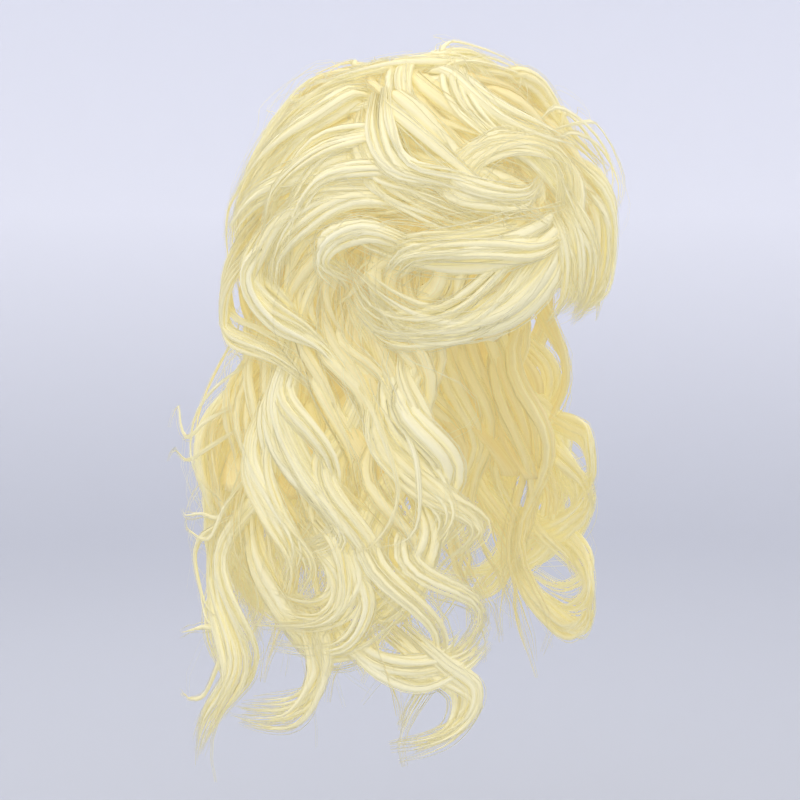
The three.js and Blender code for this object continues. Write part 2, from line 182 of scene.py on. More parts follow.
HANGING_LOCKS = rows_of(
    (-64, 4.6, -52, 8.3, -8, 0, 22, 2.3, 150, 27, 10),
    (-74, 4.6, -64, 8.9, -6, 0, 24, 1.9, 320, 28, 14),
    (-92, 5.0, -90, 8.4, 0, 0, 22, 1.8, 100, 28, 14),
    (-138, 6.6, -72, 7.4, 0, 1.0, 8, 0.8, 24, 38, 14),
    (-138, 3.6, -100, 7.2, 8, 0, 20, 1.7, 30, 28, 12),
    (-126, 5.0, -138, 9.3, 0, 0, 24, 2.1, 320, 28, 18),
    (78, 4.7, 46, 7.9, -4, 0, 22, 2.2, 210, 27, 12),
    (86, 4.6, 60, 8.3, -2, 0, 24, 2.1, 30, 28, 14),
    (100, 5.0, 92, 8.7, 0, 0, 22, 1.9, 260, 28, 14),
    (126, 5.0, 134, 8.9, 0, 0, 24, 1.9, 166, 28, 16),
    (-160, 4.8, -164, 8.8, 0, 0, 22, 2.0, 188, 30, 16),
    (-180, 4.8, -180, 9.0, 0, 0, 22, 2.0, 80, 30, 16),
    (160, 4.8, 162, 8.8, 0, 0, 22, 2.0, 300, 30, 16),
)
ROOT_DEPTH = -8  # a root lies this deep in the hair body
LOCK_STAND = 4  # a lock's middle line lies this far outside the hair body
RISE_SHARE = 0.2  # the share of a lock in which it comes up out of the body
WAVE_SHARE = 0.35  # the share of a lock in which its waves grow to their full reach
WAVE_DEPTH = 0.5  # a wave's reach in and out, as a share of its reach to the sides
TIGHTENING = 1.25  # waves follow each other faster towards the tip
THICKNESS = 0.5  # a lock's thickness as a share of its width
ROOT_BREADTH = 0.6  # a lock's breadth at its root and tip, as a share of its widest
TIP_BREADTH = 0.16
AHEAD_SHARE = 0.01  # a lock's way ahead is taken over this share of it to both sides

# What a lock is made up of. A pair is the least and the most of a random number, and most other numbers are
# shares. Bundles turn round the lock's middle by their twist in radians. Their place is a share of half the
# lock's breadth, which spreads towards the tip. Pace counts the sways along a line.
# Root_shade darkens a bundle's tone over root_share of its length: painted shade where the hair lies deep at
# its roots
BUNDLE = {
    "length": (0.88, 1.03), "breadth": (0.8, 1.2), "twist": (-2, 2), "place": 0.52, "spread": 0.4,
    "fill": 0.95, "pace": (0.5, 1.5), "root_sway": 0.15, "lock_tone": (-0.1, 0.1), "tone": (-0.08, 0.08),
    "root_shade": 0.22, "root_share": 0.3, "tip_light": 0.06,
}
# A bundle has a body that swells from its root and tapers to its tip
CORE = {"sides": 6, "flat": 0.55, "fill": 0.85, "root": 0.05, "swelling": 0.22, "tip": 0.03, "taper": 2.5}
# Strands lie round a bundle at an angle in degrees, 90 being outermost, and fray towards the tip. They are
# lit as a form would be that is rounder than the bundle and raised a little.
# Crest_light paints the strands on a bundle's outer side lighter and those under it darker: painted light and
# shade
STRAND = {
    "sides": 3, "flat": 0.4, "angle": (-25, 205), "reach": (0.78, 1.2), "fray": (0, 1.2), "thickness": 0.55,
    "pace": (0.6, 2.2), "root_sway": 0.2, "breadth": (0.6, 1.3), "tip": 0.3, "tone": (-0.16, 0.16),
    "crest_light": 0.08, "lit_aside": 0.8, "lit_up": 1.2, "lit_raised": 0.5, "lit_fade": 0.8,
    "lit_share": 0.5,
}
SWAY_UP = 0.6  # how far a line sways up, as a share of how far it sways aside
TUBE_PLACE = 0.0371  # metres from one tube's place in the UV map to the next one's

# Locks that lie in plain view, as routes over the hair body: five points each, with the azimuth, the level
# and how far the lock lies outside the body
TOP_ROUTES = rows_of(
    ((-74, 2.1, -4), (-88, 2.2, 6), (-104, 2.4, 9), (-116, 2.9, 9), (-122, 3.6, 4)),
    ((-66, 2.7, -4), (-84, 2.65, 6), (-102, 2.8, 9), (-114, 3.3, 8), (-118, 4.0, 3)),
    ((-70, 3.05, -2), (-90, 2.95, 6), (-107, 3.1, 9), (-119, 3.6, 9), (-124, 4.3, 4)),
    ((-80, 1.4, -6), (-96, 1.5, 1), (-112, 1.8, 2), (-126, 2.4, 3), (-134, 3.2, 0)),
    ((-90, 0.8, -8), (-108, 1.0, -2), (-124, 1.4, 0), (-138, 2.0, 2), (-146, 2.9, 0)),
    ((-86, 1.5, 2), (-80, 2.3, 8), (-70, 2.7, 9), (-54, 2.9, 8), (-32, 3.3, 2)),
    ((-80, 0.5, 0), (-82, 1.0, 4), (-76, 1.6, 5), (-66, 2.1, 4), (-58, 2.6, 0)),
    ((-170, 0.9, -6), (-160, 1.6, 2), (-154, 2.3, 5), (-160, 3.0, 6), (-168, 3.7, 2)),
    ((-92, 1.7, 0), (-86, 2.4, 6), (-76, 2.8, 7), (-60, 3.05, 6), (-38, 3.4, 0)),
    ((-58, 2.85, 0), (-46, 2.4, 9), (-28, 2.3, 12), (-15, 2.6, 10), (-18, 3.4, 2)),
    ((-64, 2.7, 2), (-56, 2.95, 6), (-47, 3.05, 6), (-36, 2.95, 4), (-26, 2.7, 0)),
    ((-20, 3.3, -2), (-36, 3.45, 6), (-52, 3.5, 10), (-68, 3.55, 12), (-76, 3.85, 4)),
    ((-68, 3.5, 4), (-83, 3.33, 11), (-95, 3.42, 13), (-98, 3.72, 11), (-90, 4.02, 5)),
    ((-24, 3.3, 0), (-38, 4.0, 8), (-56, 4.5, 10), (-78, 4.5, 10), (-87, 3.85, 2)),
    ((-26, 3.5, -2), (-42, 4.25, 5), (-58, 4.62, 7), (-76, 4.65, 7), (-90, 4.2, 0)),
    ((-18, 2.7, 0), (-12, 3.2, 7), (-4, 3.6, 9), (3, 4.1, 7), (6, 4.45, 2)),
    ((0, 2.5, 0), (14, 3.0, 7), (22, 3.6, 8), (22, 4.2, 6), (6, 4.45, 2)),
    ((-22, 3.0, 0), (-18, 3.4, 6), (-13, 3.8, 7), (-13, 4.2, 6), (-17, 4.5, 3)),
    ((-40, 0.6, 0), (-50, 1.1, 4), (-48, 1.7, 5), (-38, 2.1, 4), (-26, 2.4, 0)),
    ((-150, 1.2, -8), (-112, 0.7, -4), (-66, 0.4, 3), (-34, 0.7, 5), (-26, 1.4, 0)),
    ((-62, 0.9, 0), (-52, 0.5, 5), (-36, 0.4, 9), (-14, 0.6, 9), (-8, 1.2, 2)),
    ((20, 1.0, -4), (34, 1.6, 4), (52, 2.2, 6), (62, 2.8, 6), (58, 3.5, 2)),
    ((176, 1.4, -4), (184, 2.1, 4), (186, 2.8, 6), (178, 3.5, 6), (170, 4.2, 2)),
    ((158, 0.9, -6), (170, 1.5, 2), (178, 2.1, 4), (174, 2.8, 5), (184, 3.6, 2)),
)
HANGING_ROUTES = rows_of(
    ((-122, 3.3, 4), (-131, 3.85, 12), (-124, 4.4, 12), (-108, 4.8, 10), (-94, 5.4, 4)),
    ((-128, 3.4, 4), (-148, 4.1, 16), (-148, 4.6, 20), (-124, 4.9, 14), (-104, 5.3, 4)),
    ((-114, 4.7, 4), (-117, 5.6, 12), (-104, 6.3, 14), (-89, 6.9, 16), (-112, 7.15, 8)),
    ((-124, 5.2, 4), (-120, 5.9, 12), (-108, 6.4, 14), (-92, 6.85, 16), (-106, 7.25, 10)),
    ((-84, 5.2, 0), (-83, 5.9, 8), (-68, 6.35, 12), (-53, 6.75, 14), (-64, 7.2, 6)),
    ((-80, 5.0, 0), (-76, 5.7, 6), (-66, 6.2, 10), (-58, 6.6, 14), (-66, 7.1, 8)),
    ((-66, 6.4, 2), (-63, 6.8, 8), (-69, 7.25, 10), (-80, 7.55, 8), (-84, 7.3, 4)),
    ((-98, 6.8, 6), (-88, 7.1, 14), (-86, 7.5, 16), (-96, 7.85, 16), (-122, 7.95, 14)),
    ((-108, 6.9, 4), (-95, 7.15, 12), (-91, 7.45, 14), (-100, 7.7, 14), (-118, 7.7, 12)),
    ((-100, 7.6, 4), (-88, 7.95, 10), (-72, 8.1, 12), (-58, 8.0, 14), (-50, 7.8, 12)),
    ((-76, 7.8, 8), (-62, 8.15, 10), (-52, 8.4, 14), (-56, 8.7, 12), (-72, 8.85, 8)),
    ((-144, 6.8, 6), (-147, 7.6, 14), (-133, 8.3, 18), (-143, 8.85, 26), (-152, 9.25, 34)),
    ((-112, 7.7, 6), (-104, 8.05, 12), (-103, 8.4, 14), (-114, 8.68, 16), (-136, 8.82, 20)),
    ((70, 5.9, 0), (52, 6.0, 8), (35, 6.15, 12), (40, 6.55, 14), (58, 6.8, 6)),
    ((80, 5.8, 2), (76, 6.3, 6), (65, 6.6, 10), (70, 7.05, 10), (80, 7.5, 4)),
    ((76, 7.3, 2), (68, 7.25, 8), (54, 7.05, 12), (42, 6.8, 14), (35, 6.6, 14)),
    ((-170, 5.0, 2), (-176, 5.8, 10), (-168, 6.5, 12), (-160, 7.2, 14), (-170, 7.9, 8)),
    ((168, 5.0, 2), (160, 5.8, 10), (168, 6.5, 12), (178, 7.2, 14), (170, 7.8, 8)),
    ((182, 6.2, 2), (190, 6.9, 10), (184, 7.5, 14), (170, 8.0, 14), (160, 8.2, 8)),
    ((-124, 5.6, 2), (-126, 6.2, 10), (-116, 6.7, 12), (-106, 7.2, 12), (-114, 7.7, 8)),
    ((86, 7.1, 4), (64, 7.2, 12), (44, 7.6, 16), (60, 8.0, 14), (80, 7.75, 6)),
    ((86, 7.6, 2), (76, 8.05, 8), (60, 8.25, 12), (47, 8.1, 14), (43, 7.8, 14)),
)
# Loose loops that stand off the outline, as routes
TOP_LOOPS = rows_of(
    ((-60, 0.8, 0), (-40, 0.5, 8), (-10, 0.6, 12), (10, 1.0, 10), (-10, 1.5, 4)),
    ((-120, 0.7, -6), (-140, 0.9, 0), (-152, 1.05, 5), (-150, 1.3, 5), (-136, 1.4, 0)),
    ((0, 2.1, 0), (18, 2.0, 12), (30, 2.3, 22), (32, 2.8, 22), (24, 3.2, 6)),
    ((-140, 2.0, 0), (-150, 2.4, 6), (-153, 2.9, 10), (-152, 3.5, 8), (-146, 4.0, 4)),
    ((60, 1.2, 0), (84, 1.2, 16), (104, 1.6, 18), (116, 2.2, 14), (110, 2.8, 4)),
    ((150, 1.2, 0), (166, 1.4, 16), (180, 1.9, 18), (186, 2.6, 14), (176, 3.2, 4)),
)
HANGING_LOOPS = rows_of(
    ((-140, 4.8, 6), (-152, 5.3, 22), (-156, 5.9, 24), (-150, 6.3, 16), (-140, 6.4, 8)),
    ((-136, 7.0, 8), (-150, 7.3, 24), (-154, 7.7, 26), (-146, 8.0, 22), (-136, 8.0, 12)),
    ((-90, 5.4, 2), (-78, 6.0, 16), (-70, 6.6, 20), (-76, 7.2, 18), (-90, 7.4, 10)),
    ((180, 5.2, 6), (172, 5.9, 20), (180, 6.6, 24), (190, 7.2, 20), (182, 7.6, 10)),
    ((-136, 5.6, 4), (-145, 5.85, 14), (-152, 5.95, 28), (-156, 5.95, 40), (-157, 6.2, 44)),
    ((-138, 6.4, 4), (-146, 6.8, 10), (-152, 6.95, 22), (-155, 6.95, 32), (-156, 6.8, 36)),
    ((-140, 7.6, 4), (-146, 8.0, 16), (-152, 8.25, 28), (-154, 8.33, 40), (-155, 8.32, 46)),
)
MIRRORED_ROUTES = 8  # this many of the first ones of a kind lie on the left too

# How far copies of a route spread, in degrees, levels and mm, and how many spreads they shift by at most
ROUTE_SPREAD = (3.0, 0.1, 2.5)
WISP_SPREAD = (6.0, 0.2, 4.0)
LOOP_SPREAD = (6.0, 0.25, 3.0)
STRAY_SPREAD = (22.0, 0.5, 4.0)
WHOLE_SHIFT = 1.5
POINT_SHIFT = 0.5

# The way the hair is combed elsewhere on the top, as roots and tips of smaller locks
TOP_COMBED = rows_of(
    (-66, 0.7, -150, 2.5),
    (-72, 1.4, -152, 3.2),
    (-74, 2.1, -150, 3.8),
    (-78, 2.8, -138, 4.3),
    (-92, 3.2, -128, 4.7),
    (-104, 0.6, -30, 2.6),
    (-106, 1.2, -46, 3.1),
    (-100, 1.9, -44, 3.5),
    (-112, 2.0, -158, 3.6),
    (-60, 0.5, 20, 1.6),
    (0, 0.4, 70, 1.8),
    (100, 0.4, 150, 1.8),
    (170, 0.3, 210, 1.5),
    (-120, 0.4, -170, 1.6),
    (40, 1.2, 84, 3.6),
    (75, 1.2, 108, 3.9),
    (100, 1.4, 126, 4.2),
    (60, 2.2, 90, 4.4),
    (110, 2.4, 132, 4.8),
    (150, 1.4, 160, 4.4),
    (180, 1.4, 182, 4.6),
    (-160, 1.6, -166, 4.6),
    (-140, 1.8, -150, 4.6),
    (165, 2.6, 170, 5.0),
    (-170, 2.6, -172, 5.0),
    (-84, 0.5, -38, 3.2),
    (-70, 0.4, -12, 3.1),
    (-40, 1.2, 8, 3.0),
    (-20, 1.2, 24, 3.4),
    (0, 1.4, 30, 3.8),
    (20, 1.6, 50, 3.9),
    (-20, 2.4, -26, 4.1),
    (-36, 2.6, -44, 4.2),
    (-12, 2.6, -14, 4.05),
    (4, 2.4, 4, 4.0),
    (36, 2.6, 44, 4.1),
    (50, 2.8, 58, 4.2),
    (-30, 3.2, -84, 4.0),
    (-24, 2.7, -100, 3.0),
    (-46, 3.4, -96, 4.3),
    (-84, 3.5, -92, 5.0),
    (-98, 3.5, -106, 5.0),
    (-110, 3.6, -118, 5.0),
    (-60, 3.6, -86, 4.6),
    (-44, 3.5, -66, 4.5),
    (-70, 2.2, -20, 3.1),
    (-60, 0.2, 40, 0.8),
    (40, 0.2, 150, 0.8),
    (140, 0.2, 250, 0.8),
    (220, 0.2, 330, 0.8),
)
HANGING_GUIDES = 28  # small locks of the lengths are combed along this many lines
HANGING_ROOT = 3.7  # from this level
HANGING_END = 8.0  # to this one
GUIDE_INSET = 2  # degrees from a front edge to the first line
PHASE_LAG = 5  # degrees that their waves lag behind for each degree round the head
UNDERLAY = -3  # small locks lie this far outside the hair body, so that the large ones stand out
LINING = -22  # locks that line the lengths lie this far outside the hair body
PALE = 0.62  # tone of locks that lie outside, from 0 for golden to 1 for palest: their paler tone is painted light
UNDER_SHADE = 0.3  # and of those under them, darker and golden as painted shade

# Small locks and wisps: how far their roots and tips spread, and the least and most of the other columns
TOP_SMALL = {
    "azimuth": 6, "level": 0.15, "to_azimuth": 6, "to_level": 0.15, "bow": (-8, 8), "sag": (-0.1, 0.15),
    "wave": (3, 7), "turns": (0.7, 1.2), "phase": (0, 360), "width": (18, 26), "lift": (0, 4),
}
HANGING_SMALL = {
    "azimuth": 3, "level": 0.3, "to_azimuth": 7, "to_level": 0.5, "bow": (-8, 8), "sag": (0, 0),
    "wave": (14, 24), "turns": (1.4, 2.2), "phase": (-110, 110), "width": (18, 26), "lift": (-4, 10),
}
HANGING_WISPS = {
    "azimuth": 6, "level": 0.8, "to_azimuth": 14, "to_level": 0.6, "bow": (-16, 16), "sag": (-0.2, 0.2),
    "wave": (18, 32), "turns": (1.2, 2.4), "phase": (-90, 90), "width": (5, 12), "lift": (0, 14),
}

# Where the pieces part, as in the solids
FRINGE_BACK = 26  # the fringe lies in front of this y
FRINGE_AZIMUTH = 100  # the same as an azimuth, for the bed under the strands
BACK_AZIMUTH = 149  # back hair lies beyond this azimuth on both sides

# The stage, in metres. The target lies beside and under the origin as the camera sees it. Each lamp lies so
# far from the target towards the camera, to the right and up, and has a size and a power in watts.
LENS = 90  # in mm, as is the sensor's width
SENSOR = 36
TARGET_ASIDE = -0.0256
TARGET_HEIGHT = -0.1615
LAMPS = {
    "key": (1.5, -0.9, 1.3, 1.4, 0.8),
    "fill": (2.0, 0.3, 0.6, 1.6, 0.9),
    "top": (-0.3, 0.0, 2.2, 2.0, 1.0),
    "behind": (-1.6, -0.8, 1.2, 1.4, 1.2),
}
LAMP_SPREAD = 110  # degrees
SKY_STRENGTH = 1.24


def lerp(a, b, t):
    """From a to b by the share t."""
    return a + (b - a) * t


def smooth(x):
    """An S-curve from 0 to 1."""
    x = np.clip(x, 0, 1)
    return x * x * (3 - 2 * x)


def unit(vectors):
    """Vectors at length 1."""
    return vectors / np.maximum(np.linalg.norm(vectors, axis=-1, keepdims=True), SHORTEST)


def folded(azimuth):
    """An azimuth's distance from the face, 0 to 180."""
    return np.abs((azimuth + 180) % 360 - 180)


def follow(rows, key, at, column):
    """A value that follows a table's column in S-curves from row to row."""
    keys = rows[key]
    x = np.clip(at, keys[0], keys[-1])
    i = np.clip(np.searchsorted(keys, x), 1, len(keys) - 1)
    return lerp(rows[column][i - 1], rows[column][i], smooth((x - keys[i - 1]) / (keys[i] - keys[i - 1])))


def spline(before, a, b, after, x):
    """From a to b by the share x, on a Catmull-Rom spline."""
    slope_a = (b - before) / 2
    slope_b = (after - a) / 2
    bend = 3 * (b - a) - 2 * slope_a - slope_b
    return a + x * (slope_a + x * (bend + x * (slope_a + slope_b - 2 * (b - a))))


def section(form, level, column):
    """A form's section at a level: a spline through its rows, mirrored over the pole."""
    values = form[column]
    mirrored = values[1] if column == "z" else -values[1]
    padded = np.concatenate(([mirrored], values, values[-1:]))
    i = np.clip(np.floor(level).astype(int), 0, len(values) - 2)
    return spline(*(padded[i + k] for k in range(4)), level - i)


def surface(form, azimuth, level):
    """Points of a form: its plan at a level is a superellipse, whose front and back halves differ."""
    sine, cosine = np.sin(np.radians(azimuth)), np.cos(np.radians(azimuth))
    depth = np.where(cosine > 0, section(form, level, "front"), section(form, level, "back"))
    side = section(form, level, "side")
    shares = np.abs(cosine / np.maximum(depth, LEAST_REACH)) ** PLAN_SQUARENESS
    shares = shares + np.abs(sine / np.maximum(side, LEAST_REACH)) ** PLAN_SQUARENESS
    reach = shares ** (-1 / PLAN_SQUARENESS)
    return np.stack(np.broadcast_arrays(reach * sine, -reach * cosine, section(form, level, "z")), -1)


def outward(form, azimuth, level):
    """The way out of a form: across its slopes along the azimuth and the level."""
    level = np.maximum(level, POLE_GAP)
    along = surface(form, azimuth + 1, level) - surface(form, azimuth - 1, level)
    down = surface(form, azimuth, level + LEVEL_STEP) - surface(form, azimuth, level - LEVEL_STEP)
    return unit(np.cross(down, along))


def offset(form, azimuth, level, out):
    """Points at a distance outside a form."""
    return surface(form, azimuth, level) + outward(form, azimuth, level) * np.asarray(out)[..., None]


def ridge_shape(ridges, share, along):
    """A ridge's sway, bulge and height at a share of the way round and of its length: a cosine round the
    head and waves along the ridge, which both grow from its root."""
    grown = smooth(along / RIDGE_START)
    wave = 2 * np.pi * (ridges["waves"] * along + ridges["lag"] * share)
    height = ridges["height"] * grown * np.cos(2 * np.pi * ridges["count"] * share)
    return ridges["sway"] * grown * np.sin(wave), ridges["bulge"] * grown * np.cos(wave), height


def crown_bed(azimuth, along, out):
    """Points of the crown's bed from its top to its hem, ridged, at a distance outside it."""
    sway, bulge, height = ridge_shape(CROWN_RIDGES, -azimuth / 360, along)
    hem = follow(CROWN_HEM, "azimuth", folded(azimuth), "level")
    return offset(HAIR_BODY, azimuth + sway, hem * along, bulge + height + out)


def hanging_wall(share, along, out):
    """Points of the hanging hair from its top to its hem, ridged, from its left front edge round to its right
    one, at a distance outside it."""
    sway, bulge, height = ridge_shape(HANGING_RIDGES, share, along)
    level = lerp(HANGING_EDGE["level"][0], HANGING_HEM, along)
    left, right = (follow(HANGING_EDGE, "level", level, side) for side in ("left", "right"))
    return offset(HAIR_BODY, lerp(left, right + 360, share) + sway, level, bulge + height + out)


def front_edges():
    """The mean azimuths of the hanging hair's front edges, from the left one round to the right one."""
    return HANGING_EDGE["left"].mean(), HANGING_EDGE["right"].mean() + 360


def cap_levels(azimuth):
    """The head form's level at the cap's edge, read off the form's heights."""
    levels = np.linspace(0, len(HEAD_FORM["z"]) - 1, EDGE_SAMPLES)
    heights = section(HEAD_FORM, levels, "z")
    return np.interp(-follow(CAP_EDGE, "azimuth", folded(azimuth), "z"), -heights, levels)


def slab(outer, inner, tone):
    """A closed body between two grids of points, columns by rows: both grids and a border of faces between
    them. Its UV map gives metres along the columns and rows."""
    columns, rows = outer.shape[:2]
    points = np.concatenate((outer.reshape(-1, 3), inner.reshape(-1, 3)))
    corner = np.arange(columns * rows).reshape(columns, rows)
    cells = (corner[:-1, :-1], corner[:-1, 1:], corner[1:, 1:], corner[1:, :-1])
    front = np.stack(cells, -1).reshape(-1, 4)
    back = front[:, ::-1] + columns * rows
    border = np.concatenate((corner[:-1, 0], corner[-1, :-1], corner[:0:-1, -1], corner[0, :0:-1]))
    after = np.roll(border, -1)
    rim = np.stack((border, after, after + columns * rows, border + columns * rows), -1)
    across = np.linalg.norm(np.diff(outer, axis=0), axis=-1).max(1)
    down = np.linalg.norm(np.diff(outer, axis=1), axis=-1).max(0)
    u = np.concatenate(([0], np.cumsum(across))) * MM
    v = np.concatenate(([0], np.cumsum(down))) * MM
    uv = np.stack(np.broadcast_arrays(u[:, None], v[None, :]), -1).reshape(-1, 2)
    return weld(points, np.concatenate((front, back, rim)), np.concatenate((uv, uv)), tone)


def weld(points, quads, uv, tone):
    """The same body with points that coincide to a micrometre made one, as at a pole, without the faces that
    lose their area and those that lie in each other, as where a body closes on itself."""
    _, first, index = np.unique(np.round(points, 3), axis=0, return_index=True, return_inverse=True)
    quads = index.reshape(-1)[quads]
    _, same, count = np.unique(np.sort(quads, axis=1), axis=0, return_inverse=True, return_counts=True)
    quads = quads[count[same.reshape(-1)] == 1]
    triangles = np.concatenate((quads[:, [0, 1, 2]], quads[:, [0, 2, 3]]))
    a, b, c = triangles.T
    return {
        "points": points[first],
        "quads": np.empty((0, 4), int),
        "triangles": triangles[(a != b) & (b != c) & (c != a)],
        "uv": uv[first],
        "tone": np.full(len(first), tone),
        "normals": np.zeros((len(first), 3)),
    }


def lock_line(lock, t):
    """A lock's line on the hair body, before its waves: straight from root to tip, with a bow and a sag."""
    arch = np.sin(np.pi * t)
    azimuth = lerp(lock["azimuth"], lock["to_azimuth"], t) + lock["bow"] * arch
    return azimuth, lerp(lock["level"], lock["to_level"], t) + lock["sag"] * arch


def lock_middle(lock, t, stand, depth):
    """A lock's middle line and the way out along it: waves to the side and out, which grow and tighten."""
    azimuth, level = lock_line(lock, t)
    out = outward(HAIR_BODY, azimuth, level)
    before, after = (surface(HAIR_BODY, *lock_line(lock, t + step)) for step in (-AHEAD_SHARE, AHEAD_SHARE))
    sideways = unit(np.cross(out, after - before))
    angle = 2 * np.pi * lock["turns"] * t**TIGHTENING + np.radians(lock["phase"])
    wave = lock["wave"] * smooth(t / WAVE_SHARE)
    stand = lerp(ROOT_DEPTH, stand, smooth(t / RISE_SHARE)) + lock["lift"] * t * t
    middle = surface(HAIR_BODY, azimuth, level)
    middle = middle + out * (stand + depth * wave * np.cos(angle))[..., None]
    return middle + sideways * (wave * np.sin(angle))[..., None], out


def route_middle(routes, t):
    """Routes as lines on the hair body, each a spline through its points, and the way out along them."""
    ends = 2 * routes[:, [0, -1]] - routes[:, [1, -2]]
    padded = np.concatenate((ends[:, :1], routes, ends[:, 1:]), 1)
    x = t * (routes.shape[1] - 1)
    i = np.clip(np.floor(x).astype(int), 0, routes.shape[1] - 2)
    points = (np.take_along_axis(padded, (i + k)[..., None], 1) for k in range(4))
    azimuth, level, stand = np.moveaxis(spline(*points, (x - i)[..., None]), -1, 0)
    out = outward(HAIR_BODY, azimuth, level)
    return surface(HAIR_BODY, azimuth, level) + out * stand[..., None], out


def varied_rows(rng, combed, copies, spread, lag=0):
    """Locks along the way that the hair is combed: each copy's root and tip are shifted at random, and its
    waves lag behind those of the one before it round the head."""
    guides = np.repeat(combed, copies, axis=0)
    shift = rng.uniform(-WHOLE_SHIFT, WHOLE_SHIFT, guides.shape)
    ends, others = LOCK_COLUMNS[:END_COLUMNS], LOCK_COLUMNS[END_COLUMNS:]
    lock = {name: guides[:, k] + spread[name] * shift[:, k] for k, name in enumerate(ends)}
    lock |= {name: rng.uniform(*spread[name], len(guides)) for name in others}
    lock["phase"] = lock["phase"] + lag * lock["azimuth"]
    return np.stack([lock[name] for name in LOCK_COLUMNS], -1)


def mirrored(routes):
    """Routes with the first of them on the left too."""
    return np.concatenate((routes, routes[:MIRRORED_ROUTES] * (-1, 1, 1)))


def hanging_combed():
    """The way that the lengths are combed: straight down, evenly from one front edge round to the other."""
    left, right = front_edges()
    azimuth = np.linspace(left + GUIDE_INSET, right - GUIDE_INSET, HANGING_GUIDES)
    return np.stack(np.broadcast_arrays(azimuth, HANGING_ROOT, azimuth, HANGING_END), -1)


def drawn(rng, bounds, index):
    """A random number within bounds for each line of an index, as a column."""
    return rng.uniform(*bounds, (len(index), 1))


def sways(rng, kind, reach, t, index):
    """How far lines of a kind sway aside and up at the shares t of their length: sines of a random pace and
    start, which grow from the root on."""
    made = []
    for share in (1, SWAY_UP):
        pace = drawn(rng, kind["pace"], index)
        start = drawn(rng, (0, 1), index)
        made.append(share * (reach * (kind["root_sway"] + t) * np.sin(2 * np.pi * (pace * t + start))))
    return made


def shares(rng, locks, count, steps):
    """The lock that each bundle belongs to, and how far along it the bundle's points lie."""
    index = np.repeat(np.arange(locks), count)
    return index, drawn(rng, BUNDLE["length"], index) * np.linspace(0, 1, steps + 1)


def waved_bundles(rng, rows, count, steps, waver, tone=PALE, stand=LOCK_STAND, depth=WAVE_DEPTH):
    """The bundles of locks that wave from root to tip. Those that lie deeper than a root face inwards."""
    index, t = shares(rng, len(rows), count, steps)
    lock = {name: rows[index, k, None] for k, name in enumerate(LOCK_COLUMNS)}
    middle, out = lock_middle(lock, t, stand, depth)
    facing = out if stand > ROOT_DEPTH else -out
    return bundles_of(rng, middle, facing, t, lock["width"], index, waver, tone)


def routed_bundles(rng, routes, copies, spread, width, count, steps, waver):
    """The bundles of locks that follow copies of routes, each shifted at random as a whole and a little at
    each point."""
    routes = np.repeat(routes, copies, axis=0)
    whole = rng.uniform(-WHOLE_SHIFT, WHOLE_SHIFT, (len(routes), 1, 3))
    shift = whole + rng.uniform(-POINT_SHIFT, POINT_SHIFT, routes.shape)
    index, t = shares(rng, len(routes), count, steps)
    middle, out = route_middle((routes + shift * np.array(spread))[index], t)
    width = rng.uniform(*BUNDLE["breadth"], len(routes))[index, None] * width
    return bundles_of(rng, middle, out, t, width, index, waver, PALE)


def bundles_of(rng, middle, out, t, width, index, waver, tone):
    """The bundles that make up locks: their middles turn round the lock's middle and waver by sines, and each
    is as thick as lets them share the lock's section."""
    locks, count = index[-1] + 1, np.bincount(index)[0]
    across, up = frames({"paths": middle, "out": out})
    half = width / 2 * lerp(ROOT_BREADTH, 1, smooth(t / WAVE_SHARE)) * lerp(1, TIP_BREADTH, t**3)
    start = np.arange(len(index))[:, None] / count + rng.random(locks)[index, None]
    turn = 2 * np.pi * start + drawn(rng, BUNDLE["twist"], index) * t
    place = (BUNDLE["place"] if count > 1 else 0) * half * (1 + BUNDLE["spread"] * t * t)
    sway_aside, sway_up = sways(rng, BUNDLE, waver, t, index)
    aside = place * np.cos(turn) + sway_aside
    above = THICKNESS * place * np.sin(turn) + sway_up
    tone = tone + rng.uniform(*BUNDLE["lock_tone"], locks)[index, None]
    tone = tone + drawn(rng, BUNDLE["tone"], index)
    # Painted shade at the roots, where the hair lies deep
    shade = BUNDLE["root_shade"] * (1 - smooth(t / BUNDLE["root_share"]))
    return {
        "paths": middle + across * aside[..., None] + up * above[..., None],
        "out": out,
        "radius": half * BUNDLE["fill"] / np.sqrt(count),
        "tone": tone - shade + BUNDLE["tip_light"] * t,
    }


def frames(lines):
    """The ways across and up at each point of lines that lie on the hair."""
    along = unit(np.gradient(lines["paths"], axis=1))
    across = unit(np.cross(lines["out"], along))
    return across, np.cross(along, across)


def cores(bundles):
    """Each bundle's closed body of combed hair: a flat oval carried along it that narrows to both ends."""
    share = np.linspace(0, 1, bundles["paths"].shape[1])[None, :]
    swell = lerp(CORE["root"], 1, smooth(share / CORE["swelling"]))
    swell = swell * lerp(1, CORE["tip"], share ** CORE["taper"])
    return tubes({**bundles, "half": CORE["fill"] * bundles["radius"] * swell}, CORE["sides"], CORE["flat"])


